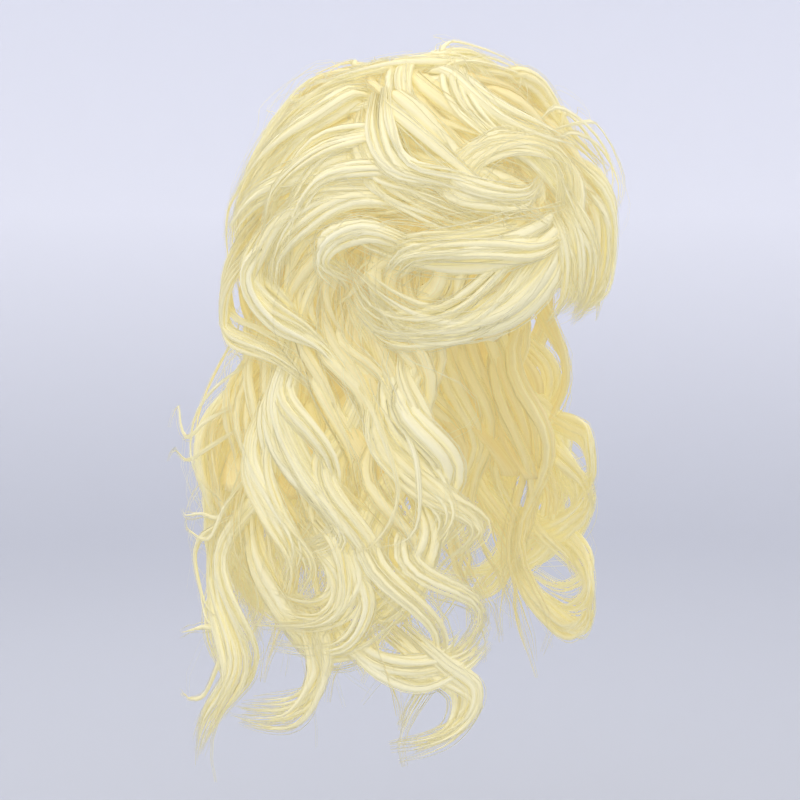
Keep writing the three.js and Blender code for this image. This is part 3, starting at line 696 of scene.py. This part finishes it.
def strands_of(rng, bundles, count, frizz, breadth):
    """Strands round each bundle, mostly on its outer side, that waver by sines and fray towards the tip. They
    take the light as the bundle does, so that a lock shades as one form."""
    index = np.repeat(np.arange(len(bundles["paths"])), count)
    across, up = (part[index] for part in frames(bundles))
    share = np.linspace(0, 1, across.shape[1])[None, :]
    angle = np.radians(drawn(rng, STRAND["angle"], index))
    reach = bundles["radius"][index] * drawn(rng, STRAND["reach"], index)
    reach = reach * (1 + drawn(rng, STRAND["fray"], index) * share**3)
    sway_aside, sway_up = sways(rng, STRAND, frizz, share, index)
    aside = reach * np.cos(angle) + sway_aside
    above = STRAND["thickness"] * reach * np.sin(angle) + sway_up
    half = breadth / 2 * drawn(rng, STRAND["breadth"], index) * lerp(1, STRAND["tip"], share**3)
    tone = bundles["tone"][index] + drawn(rng, STRAND["tone"], index)
    lit_aside = STRAND["lit_aside"] * np.cos(angle)
    lit_up = STRAND["lit_up"] * np.sin(angle) + STRAND["lit_raised"]
    lit = unit(across * lit_aside[..., None] + up * lit_up[..., None])
    return {
        "paths": bundles["paths"][index] + across * aside[..., None] + up * above[..., None],
        "out": bundles["out"][index],
        "half": half,
        # Painted light on the strands on the bundle's outer side, painted shade on those under it
        "tone": tone + STRAND["crest_light"] * np.sin(angle),
        "lit": lit * (1 - STRAND["lit_fade"] * share**2)[..., None],
    }


def grow_strands(rng, hair, *groups):
    """The strands on groups of lines. A group gives its lines, the number of strands on each, and their frizz
    and breadth as shares of the hair's."""
    return [
        strands_of(rng, lines, count, frizz * (hair.frizz / MM), breadth * (hair.breadth / MM))
        for lines, count, frizz, breadth in groups
    ]


def chosen(lines, held):
    """Those lines of a group that a mask holds."""
    return {name: value[held] for name, value in lines.items()}


def tubes(lines, sides, flat):
    """Lines as closed tubes: a flattened ring of points is carried along each, and a fan of triangles
    closes each end. The UV map gives metres round and along a tube, from a place of its own."""
    across, up = (part[:, :, None] for part in frames(lines))
    angles = (np.pi / 2 + 2 * np.pi * np.arange(sides) / sides)[:, None]
    ring = across * np.cos(angles) + flat * up * np.sin(angles)
    points = lines["paths"][:, :, None] + lines["half"][:, :, None, None] * ring
    shape = points.shape[:3]
    index = np.arange(points[..., 0].size).reshape(shape)
    beside = np.roll(index, -1, axis=2)
    quads = np.stack((index[:, :-1], beside[:, :-1], beside[:, 1:], index[:, 1:]), -1).reshape(-1, 4)
    fan = np.stack((np.zeros(sides - 2, int), np.arange(1, sides - 1), np.arange(2, sides)), -1)
    triangles = np.concatenate((index[:, 0][:, fan[:, ::-1]], index[:, -1][:, fan])).reshape(-1, 3)
    steps = np.linalg.norm(np.diff(lines["paths"], axis=1), axis=-1)
    run = np.concatenate((np.zeros((shape[0], 1)), np.cumsum(steps, 1)), 1)[:, :, None]
    girth = 2 * np.pi * lines["half"].mean(1)[:, None, None] * np.arange(sides) / sides
    own = np.arange(shape[0])[:, None, None] * TUBE_PLACE
    uv = np.stack(np.broadcast_arrays(own + girth * MM, own + run * MM), -1)
    normals = np.zeros(points.shape)
    if "lit" in lines:
        facing = unit(flat * across * np.cos(angles) + up * np.sin(angles))
        normals = unit(STRAND["lit_share"] * lines["lit"][:, :, None] + facing)
    return {
        "points": points.reshape(-1, 3),
        "quads": quads,
        "triangles": triangles,
        "uv": uv.reshape(-1, 2),
        "tone": np.broadcast_to(lines["tone"][:, :, None], shape).reshape(-1),
        "normals": normals.reshape(-1, 3),
    }


def piece(name, parts, node, material):
    """A mesh object of one or more bodies that stands for a solid and rides with it."""
    starts = np.cumsum([0] + [len(part["points"]) for part in parts[:-1]])
    points = np.concatenate([part["points"] for part in parts]) * MM
    quads = np.concatenate([part["quads"] + start for part, start in zip(parts, starts)])
    triangles = np.concatenate([part["triangles"] + start for part, start in zip(parts, starts)])
    corners = np.concatenate((quads.ravel(), triangles.ravel()))
    offsets = np.concatenate((np.arange(len(quads)) * 4, quads.size + np.arange(len(triangles)) * 3))
    mesh = bpy.data.meshes.new(name)
    mesh.vertices.add(len(points))
    mesh.vertices.foreach_set("co", points.astype(np.float32).ravel())
    mesh.loops.add(len(corners))
    mesh.loops.foreach_set("vertex_index", corners.astype(np.int32))
    mesh.polygons.add(len(offsets))
    mesh.polygons.foreach_set("loop_start", offsets.astype(np.int32))
    mesh.update(calc_edges=True)
    mesh.shade_smooth()
    uv = np.concatenate([part["uv"] for part in parts])[corners]
    mesh.uv_layers.new(name="combed").uv.foreach_set("vector", uv.astype(np.float32).ravel())
    tone = np.concatenate([part["tone"] for part in parts])
    mesh.attributes.new("tone", "FLOAT", "POINT").data.foreach_set("value", tone.astype(np.float32))
    mesh.normals_split_custom_set_from_vertices(np.concatenate([part["normals"] for part in parts]))
    if mesh.validate():
        raise RuntimeError(f"{name} has faces that Blender had to mend")
    mesh.materials.append(material)
    made = bpy.data.objects.new(name, mesh)
    bpy.context.scene.collection.objects.link(made)
    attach(made, "root")
    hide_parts(node)


def hair_pieces(name, bed, locks, strands, owner, hair):
    """The two pieces of a hair solid: its bed with the locks that owner gives it, and its loose strands."""
    fibre = bpy.data.materials.get("modacrylic_hair_fibre") or hair_fibre(hair)
    bodies = [cores(chosen(lines, owner(lines) == name)) for lines in locks]
    loose = [chosen(lines, owner(lines) == name) for lines in strands]
    loose = [tubes(lines, STRAND["sides"], STRAND["flat"]) for lines in loose]
    piece(f"{name}_locks", [bed, *bodies], f"{name}_hair", fibre)
    piece(f"{name}_strands", loose, f"{name}_hair", fibre)


def linear(code):
    """An sRGB hex colour as linear red, green and blue, by the curve that sRGB is defined with."""
    values = np.array([int(code[i : i + 2], 16) for i in (1, 3, 5)]) / 255
    return tuple(np.where(values <= 0.04045, values / 12.92, ((values + 0.055) / 1.055) ** 2.4))


def opaque(colour):
    """A colour with full alpha."""
    return (*colour, 1.0)


def add(tree, kind, settings=None, links=None):
    """A node: its settings name its properties or inputs, and its links the sockets that feed its inputs."""
    node = tree.nodes.new(kind)
    for name, value in (settings or {}).items():
        if isinstance(name, int) or name in node.inputs:
            node.inputs[name].default_value = value
        else:
            setattr(node, name, value)
    for name, socket in (links or {}).items():
        tree.links.new(socket, node.inputs[name])
    return node


def new_material(name):
    """A material with an empty node tree, and that tree."""
    material = bpy.data.materials.new(name)
    material.use_nodes = True
    material.node_tree.nodes.clear()
    return material, material.node_tree


def combed_place(tree, across, along):
    """The place on a piece across and along its combed lines, counted in lengths in metres."""
    place = add(tree, "ShaderNodeUVMap", {"uv_map": "combed"})
    scale = {"Scale": (1 / across, 1 / along, 1)}
    return add(tree, "ShaderNodeMapping", scale, {"Vector": place.outputs["UV"]}).outputs["Vector"]


def surfaced(material, settings, links):
    """The material with a shader for its surface."""
    shader = add(material.node_tree, "ShaderNodeBsdfPrincipled", settings, links)
    add(material.node_tree, "ShaderNodeOutputMaterial", {}, {"Surface": shader.outputs["BSDF"]})
    return material


def hair_fibre(hair):
    """Modacrylic wig fibre, spun and heat-curled: fine parallel strands with a soft sheen, palest where they
    lie outside, as painted light, and golden in the depth, as painted shade. A fibre is 0.08 mm thick, but
    fibres cling together, so noise that is drawn out along the hair gives lighter and darker streaks with
    finer ones in them. The fibre also has a painted glow in its shade colour."""
    streak_breadth, streak_length, contrast = 0.0018, 0.09, 0.6
    material, tree = new_material("modacrylic_hair_fibre")
    tone = add(tree, "ShaderNodeAttribute", {"attribute_name": "tone"})
    streak = add(
        tree, "ShaderNodeTexNoise",
        {"noise_dimensions": "2D", "Scale": 1.0, "Detail": 3.0, "Roughness": 0.65},
        {"Vector": combed_place(tree, streak_breadth, streak_length)},
    )
    shift = add(
        tree, "ShaderNodeMath", {"operation": "MULTIPLY_ADD", 1: contrast, 2: -contrast / 2},
        {0: streak.outputs["Fac"]},
    )
    shade = add(
        tree, "ShaderNodeMath", {"operation": "ADD"}, {0: tone.outputs["Fac"], 1: shift.outputs["Value"]}
    )
    # The ramp turns the tone into colour: low tones give golden painted shade, high tones pale painted light
    ramp = add(tree, "ShaderNodeValToRGB", {}, {"Fac": shade.outputs["Value"]})
    stops = ramp.color_ramp.elements
    stops[0].position, stops[0].color = 0.05, opaque(hair.deep)
    stops[1].position, stops[1].color = 0.95, opaque(hair.light)
    for position, colour in ((0.35, hair.shade), (0.65, hair.middle)):
        stop = stops.new(position)
        stop.color = opaque(colour)
    bump = add(
        tree, "ShaderNodeBump", {"Strength": 0.6, "Distance": 0.0008}, {"Height": streak.outputs["Fac"]}
    )
    return surfaced(
        material,
        {
            "Roughness": 0.55, "IOR": 1.52, "Specular IOR Level": 0.12,
            "Sheen Weight": 0.1, "Sheen Roughness": 0.4,
            # Painted glow: the fibre glows in its shade colour though it is no lamp, standing in for light
            # that comes through the fibres from behind and lifting the shade
            "Emission Color": opaque(hair.shade), "Emission Strength": 0.27,
        },
        {"Base Color": ramp.outputs["Color"], "Normal": bump.outputs["Normal"]},
    )


def cap_net(cap):
    """Elastic nylon net with sewn rows, knitted: a matt fine mesh, crossed by raised seams of pale hair."""
    mesh_width = 0.0015
    material, tree = new_material("elastic_cap_net")
    tone = add(tree, "ShaderNodeAttribute", {"attribute_name": "tone"})
    mesh = add(
        tree, "ShaderNodeTexVoronoi",
        {"voronoi_dimensions": "2D", "feature": "DISTANCE_TO_EDGE", "Scale": 1.0},
        {"Vector": combed_place(tree, mesh_width, mesh_width)},
    )
    hole = add(
        tree, "ShaderNodeMapRange", {"From Min": 0.04, "From Max": 0.2, "To Min": 0.0, "To Max": 1.0},
        {"Value": mesh.outputs["Distance"]},
    )
    net = add(
        tree, "ShaderNodeMix", {"data_type": "RGBA", 6: opaque(cap.net), 7: opaque(cap.hole)},
        {0: hole.outputs["Result"]},
    )
    sewn = add(
        tree, "ShaderNodeMix", {"data_type": "RGBA", 7: opaque(cap.row)},
        {0: tone.outputs["Fac"], 6: net.outputs[2]},
    )
    bump = add(
        tree, "ShaderNodeBump", {"Strength": 0.6, "Distance": 0.0003, "invert": True},
        {"Height": hole.outputs["Result"]},
    )
    return surfaced(
        material,
        {
            "Roughness": 0.8, "IOR": 1.53, "Sheen Weight": 0.2,
            # Painted glow: the net glows in its hole colour though it is no lamp, standing in for light that
            # comes through the net and the hair over it and lifting the shade inside the cap
            "Emission Color": opaque(cap.hole), "Emission Strength": 0.24,
        },
        {"Base Color": sewn.outputs[2], "Normal": bump.outputs["Normal"]},
    )


def backdrop_paper(stage):
    """Seamless background paper, matt and pale, painted darkest on the floor as painted shade and paler up to
    a height above it.
    """
    fade_height = 0.7
    material, tree = new_material("seamless_paper")
    place = add(tree, "ShaderNodeTexCoord")
    height = add(tree, "ShaderNodeSeparateXYZ", {}, {"Vector": place.outputs["Object"]})
    share = add(
        tree, "ShaderNodeMapRange", {"From Min": stage.floor, "From Max": stage.floor + fade_height},
        {"Value": height.outputs["Z"]},
    )
    colour = add(
        tree, "ShaderNodeMix", {"data_type": "RGBA", 6: opaque(stage.ground), 7: opaque(stage.backdrop)},
        {0: share.outputs["Result"]},
    )
    settings = {"Roughness": 0.9, "Specular IOR Level": 0.1}
    return surfaced(material, settings, {"Base Color": colour.outputs[2]})


def colour_property(name, description, code):
    """A colour that a user may change."""
    return FloatVectorProperty(
        name=name, description=description, default=linear(code), size=3, min=0, max=1, subtype="COLOR"
    )


class WigHairSettings(bpy.types.PropertyGroup):
    """The hair's colours and strands."""

    # Light is painted light on the strands that lie outside; shade and deep are painted shade on the strands
    # that lie deeper and on the bed under them. Shade is also the colour of the fibre's painted glow.
    light: colour_property("Light", "Strands that lie outside", "#f0edd2")
    middle: colour_property("Middle", "Most strands", "#ede7c2")
    shade: colour_property("Shade", "Strands that lie deeper", "#e9dfae")
    deep: colour_property("Deep", "The bed under the strands", "#dfcd90")
    breadth: FloatProperty(
        name="Strand breadth", description="Breadth of a strand at its widest", default=0.0009,
        min=0.0003, max=0.004, unit="LENGTH", precision=4,
    )
    frizz: FloatProperty(
        name="Frizz", description="How far a strand wavers from its lock", default=0.0016, min=0, max=0.01,
        unit="LENGTH", precision=4,
    )
    seed: IntProperty(
        name="Seed", description="Another number combs the strands another way", default=7, min=0
    )


class WigCapSettings(bpy.types.PropertyGroup):
    """The cap's colours and sewn rows."""

    net: colour_property("Net", "Threads of the net", "#efe7ca")
    # Hole is also the colour of the net's painted glow
    hole: colour_property("Hole", "Between the threads", "#e2d5a8")
    row: colour_property("Row", "Sewn rows of hair and the edge band", "#f6f0d6")
    spacing: FloatProperty(
        name="Row spacing", description="Distance from one sewn row to the next", default=0.012,
        min=0.004, max=0.04, unit="LENGTH", precision=4,
    )


class WigStageSettings(bpy.types.PropertyGroup):
    """The backdrop, the lights and the camera."""

    backdrop: colour_property("Backdrop", "Seamless paper up the wall", "#e8ecfa")
    # The floor's colour is darker than the wall's: painted shade on the same paper
    ground: colour_property("Ground", "The same paper on the floor", "#c1c6d4")
    floor: FloatProperty(
        name="Floor", description="Height of the floor", default=-0.62, min=-3, max=-0.5, unit="LENGTH"
    )
    sky: colour_property("Sky", "Light from all round", "#fffaf2")
    light: FloatProperty(
        name="Light", description="Share of the full power of the lamps and the sky", default=1.0,
        min=0, max=4, subtype="FACTOR",
    )
    azimuth: FloatProperty(
        name="Azimuth", description="Where the camera stands round the wig", default=np.radians(-63),
        min=-np.pi, max=np.pi, subtype="ANGLE",
    )
    elevation: FloatProperty(
        name="Elevation", description="How far the camera looks down", default=np.radians(4),
        min=np.radians(-80), max=np.radians(80), subtype="ANGLE",
    )
    distance: FloatProperty(
        name="Distance", description="From the camera to the wig", default=1.71,
        min=0.5, max=10, unit="LENGTH",
    )


class WIG_OT_cap(bpy.types.Operator):
    """Makes the stretch cap: a wall on the head form, with a smooth band round its edge and sewn rows"""

    bl_idname = "wig.cap"
    bl_label = "Cap"

    def rows(self, heights, spacing):
        """How far the sewn rows are raised at heights: a cosine down the cap, narrowed by a power."""
        return (0.5 - 0.5 * np.cos(2 * np.pi * heights * MM / spacing)) ** ROW_SHARPNESS

    def execute(self, context):
        """The rows fade out at the band. Both stand out on both sides, and have a colour of their own."""
        cap = context.scene.wig_cap
        columns, rows = CAP_CELLS
        azimuth = np.linspace(0, 360, columns + 1)[:, None]
        share = np.linspace(0, 1, rows + 1)[None, :]
        level = cap_levels(azimuth) * share
        band = smooth((share - BAND_START) / BAND_BLEND)
        raised = self.rows(section(HEAD_FORM, level, "z"), cap.spacing)
        raised = np.maximum(raised * (1 - band), band)
        outer = offset(HEAD_FORM, azimuth, level, CAP_WALL - ROW_RELIEF + ROW_RELIEF * raised)
        inner = offset(HEAD_FORM, azimuth, level, ROW_RELIEF - ROW_RELIEF * raised)
        body = slab(outer, inner, 0.0)
        x, y, heights = body["points"].T
        edge = follow(CAP_EDGE, "azimuth", folded(np.degrees(np.arctan2(x, -y))), "z")
        banded = smooth((edge + BAND_HEIGHT - heights) / BAND_FADE)
        body["tone"] = np.maximum(self.rows(heights, cap.spacing), banded)
        piece("cap_with_sewn_rows", [body], "wig_cap", cap_net(cap))
        return {"FINISHED"}


class WIG_OT_top(bpy.types.Operator):
    """Grows the teased top: the crown's and the fringe's bed, their swept locks and loose wisps"""

    bl_idname = "wig.top"
    bl_label = "Crown and fringe"

    def bed(self, low, high):
        """The bed between two azimuths, from a little under the ridges in to the cap, its pole one point."""
        columns, rows = TOP_BED["cells"]
        azimuth = np.linspace(low, high, columns + 1)[:, None]
        share = np.linspace(0, 1, rows + 1)[None, :]
        outer = crown_bed(azimuth, TOP_BED["end"] * share, -TOP_BED["depth"])
        inner = offset(HEAD_FORM, azimuth, cap_levels(azimuth) * share, CAP_WALL + CLEARANCE + ROW_RELIEF)
        for grid in (outer, inner):
            grid[:, 0] = grid[:, 0].mean(0)
        return slab(outer, inner, BED_SHADE)

    def owner(self, lines):
        """The solid that each line goes to, by where it lies on the whole."""
        return np.where(lines["paths"][:, :, 1].mean(1) < FRINGE_BACK, "fringe", "crown")

    def execute(self, context):
        """Large locks, swept ones on routes, small ones under them, loops, wisps and stray hairs."""
        hair = context.scene.wig_hair
        rng = np.random.default_rng(hair.seed)
        frizz = hair.frizz / MM
        routes = mirrored(TOP_ROUTES)
        large = waved_bundles(rng, TOP_LOCKS, count=4, steps=16, waver=1.5 * frizz)
        swept = routed_bundles(rng, routes, 3, ROUTE_SPREAD, width=18, count=5, steps=14, waver=1.5 * frizz)
        # Small locks lie under the large ones and take their darker tone, painted shade
        small = varied_rows(rng, TOP_COMBED, 2, TOP_SMALL)
        small = waved_bundles(rng, small, count=2, steps=12, waver=2 * frizz, tone=UNDER_SHADE, stand=UNDERLAY)
        loops = routed_bundles(rng, TOP_LOOPS, 4, LOOP_SPREAD, width=5, count=1, steps=14, waver=frizz)
        wisps = routed_bundles(rng, routes, 4, WISP_SPREAD, width=10, count=1, steps=16, waver=2 * frizz)
        locks = (large, swept, small, loops)
        strands = grow_strands(
            rng, hair, (large, 6, 1, 1), (swept, 3, 1, 1), (small, 4, 1.3, 1), (loops, 5, 1, 0.7),
            (wisps, 3, 2, 0.7),
        )
        stray = routed_bundles(rng, TOP_LOOPS, 7, STRAY_SPREAD, width=8, count=1, steps=14, waver=3 * frizz)
        strands += grow_strands(rng, hair, (stray, 2, 2, 0.5))
        for name, low, high in (
            ("fringe", -FRINGE_AZIMUTH, FRINGE_AZIMUTH),
            ("crown", FRINGE_AZIMUTH, 360 - FRINGE_AZIMUTH),
        ):
            hair_pieces(name, self.bed(low, high), locks, strands, self.owner, hair)
        return {"FINISHED"}


class WIG_OT_lengths(bpy.types.Operator):
    """Grows the hanging lengths on the right, left and back: a thin bed, waved locks and loose wisps"""

    bl_idname = "wig.lengths"
    bl_label = "Lengths"

    def bed(self, low, high):
        """The bed between two shares of the way round, a wall that ends well above the tips."""
        columns, rows = LENGTHS_BED["cells"]
        share = np.linspace(low, high, columns + 1)[:, None]
        along = np.linspace(0, LENGTHS_BED["end"], rows + 1)[None, :]
        outer = hanging_wall(share, along, -LENGTHS_BED["depth"])
        inner = hanging_wall(share, along, -lerp(*LENGTHS_BED["inside"], along))
        return slab(outer, inner, BED_SHADE)

    def owner(self, lines):
        """The solid that each line goes to, by the azimuth that it hangs at on the whole."""
        middle = lines["paths"].mean(1)
        azimuth = np.degrees(np.arctan2(middle[:, 0], -middle[:, 1]))
        return np.where(np.abs(azimuth) < BACK_AZIMUTH, np.where(azimuth > 0, "left", "right"), "back")

    def execute(self, context):
        """Large locks, curled ones on routes, small ones under them and inside, loops and wisps."""
        hair = context.scene.wig_hair
        rng = np.random.default_rng(hair.seed + 1)
        frizz = hair.frizz / MM
        routes = mirrored(HANGING_ROUTES)
        combed = hanging_combed()
        large = waved_bundles(rng, HANGING_LOCKS, count=4, steps=30, waver=1.5 * frizz)
        curled = routed_bundles(rng, routes, 3, ROUTE_SPREAD, width=20, count=5, steps=20, waver=1.5 * frizz)
        # Small locks and the lining lie under the large ones and take their darker tone, painted shade
        small = varied_rows(rng, combed, 2, HANGING_SMALL, PHASE_LAG)
        small = waved_bundles(rng, small, count=2, steps=24, waver=2 * frizz, tone=UNDER_SHADE, stand=UNDERLAY)
        lining = varied_rows(rng, combed, 2, HANGING_SMALL, PHASE_LAG)
        lining = waved_bundles(rng, lining, count=2, steps=18, waver=2 * frizz, tone=UNDER_SHADE, stand=LINING)
        loops = routed_bundles(rng, HANGING_LOOPS, 2, LOOP_SPREAD, width=7, count=1, steps=16, waver=frizz)
        wisps = varied_rows(rng, combed, 3, HANGING_WISPS, PHASE_LAG)
        wisps = waved_bundles(rng, wisps, count=1, steps=24, waver=3 * frizz, depth=0.8)
        locks = (large, curled, small, lining, loops)
        strands = grow_strands(
            rng, hair, (large, 6, 1, 1), (curled, 3, 1, 1), (small, 4, 1.3, 1), (lining, 3, 1.3, 1),
            (loops, 5, 1, 0.7), (wisps, 2, 2, 0.7),
        )
        left, right = front_edges()
        first = (BACK_AZIMUTH - left) / (right - left)
        second = (360 - BACK_AZIMUTH - left) / (right - left)
        for name, low, high in (("left", 0, first), ("back", first, second), ("right", second, 1)):
            hair_pieces(name, self.bed(low, high), locks, strands, self.owner, hair)
        return {"FINISHED"}


class WIG_OT_stage(bpy.types.Operator):
    """Sets up the seamless backdrop, the soft lamps and the camera"""

    bl_idname = "wig.stage"
    bl_label = "Stage"

    def backdrop(self, stage):
        """Floor, cove and wall turned all round the wig: a straight, a quarter circle and a straight."""
        reach, bend, height = 2.4, 1.6, 2.8
        sides, steps = 96, 16
        rings = (1e-4, 1.2)  # on the floor, the first one all but a point
        quarter = np.linspace(0, np.pi / 2, steps + 1)
        radius = np.concatenate((rings, reach + bend * np.sin(quarter), [reach + bend]))
        rise = np.concatenate((np.zeros(len(rings)), bend * (1 - np.cos(quarter)), [height]))
        turn = np.linspace(0, 2 * np.pi, sides + 1)[:-1, None]
        points = np.stack(
            np.broadcast_arrays(radius * np.cos(turn), radius * np.sin(turn), stage.floor + rise), -1
        ).reshape(-1, 3)
        corner = np.arange(len(points)).reshape(sides, len(radius))
        beside = np.roll(corner, -1, axis=0)
        faces = np.stack((corner[:, :-1], corner[:, 1:], beside[:, 1:], beside[:, :-1]), -1).reshape(-1, 4)
        mesh = bpy.data.meshes.new("backdrop")
        mesh.from_pydata(points, [], faces)
        mesh.shade_smooth()
        mesh.materials.append(backdrop_paper(stage))
        made = bpy.data.objects.new("backdrop", mesh)
        bpy.context.scene.collection.objects.link(made)

    def lamp(self, name, place, size, power, target):
        """A square softbox with a grid, which faces the target."""
        data = bpy.data.lights.new(name, "AREA")
        data.shape = "SQUARE"
        data.size = size
        data.energy = power
        data.spread = np.radians(LAMP_SPREAD)
        made = bpy.data.objects.new(name, data)
        made.location = place
        made.rotation_euler = (target - place).to_track_quat("-Z", "Y").to_euler()
        made.visible_camera = False
        bpy.context.scene.collection.objects.link(made)

    def execute(self, context):
        """The camera looks at the target from its azimuth and elevation, and the lamps stand round it."""
        stage = context.scene.wig_stage
        self.backdrop(stage)
        turn, rise = stage.azimuth, stage.elevation
        right = Vector((np.cos(turn), np.sin(turn), 0))
        back = Vector((np.sin(turn) * np.cos(rise), -np.cos(turn) * np.cos(rise), np.sin(rise)))
        target = right * TARGET_ASIDE + Vector((0, 0, TARGET_HEIGHT))
        data = bpy.data.cameras.new("camera")
        data.lens = LENS
        data.sensor_width = SENSOR
        camera = bpy.data.objects.new("camera", data)
        camera.location = target + back * stage.distance
        camera.rotation_euler = (-back).to_track_quat("-Z", "Y").to_euler()
        context.scene.collection.objects.link(camera)
        context.scene.camera = camera
        for name, (towards, aside, height, size, power) in LAMPS.items():
            place = target + back * towards + right * aside + Vector((0, 0, height))
            self.lamp(name, place, size, power * stage.light, target)
        world = bpy.data.worlds.new("studio")
        world.use_nodes = True
        shade = world.node_tree.nodes["Background"]
        shade.inputs["Color"].default_value = opaque(stage.sky)
        shade.inputs["Strength"].default_value = SKY_STRENGTH * stage.light
        context.scene.world = world
        context.scene.view_settings.view_transform = "Standard"
        return {"FINISHED"}


class WIG_PT_panel(bpy.types.Panel):
    """Lists the wig's pieces and what a user may change on them."""

    bl_idname = "WIG_PT_panel"
    bl_label = "Curly wig"
    bl_space_type = "VIEW_3D"
    bl_region_type = "UI"
    bl_category = "Wig"

    def draw(self, context):
        """Each operator's button, and under it the settings."""
        for operator in (WIG_OT_cap, WIG_OT_top, WIG_OT_lengths, WIG_OT_stage):
            self.layout.operator(operator.bl_idname)
        for settings in (context.scene.wig_hair, context.scene.wig_cap, context.scene.wig_stage):
            box = self.layout.box()
            for name in settings.__annotations__:
                box.prop(settings, name)


SETTINGS = {"wig_hair": WigHairSettings, "wig_cap": WigCapSettings, "wig_stage": WigStageSettings}
CLASSES = (*SETTINGS.values(), WIG_OT_cap, WIG_OT_top, WIG_OT_lengths, WIG_OT_stage, WIG_PT_panel)


def register():
    """Makes the classes known to Blender and hangs the settings on the scene."""
    for each in CLASSES:
        bpy.utils.register_class(each)
    for name, group in SETTINGS.items():
        setattr(bpy.types.Scene, name, PointerProperty(type=group))


def unregister():
    """Takes all that back."""
    for name in SETTINGS:
        delattr(bpy.types.Scene, name)
    for each in reversed(CLASSES):
        bpy.utils.unregister_class(each)


def main():
    """Builds the wig and its stage."""
    register()
    bpy.ops.wig.cap()
    bpy.ops.wig.top()
    bpy.ops.wig.lengths()
    bpy.ops.wig.stage()


if __name__ == "__main__":
    main()
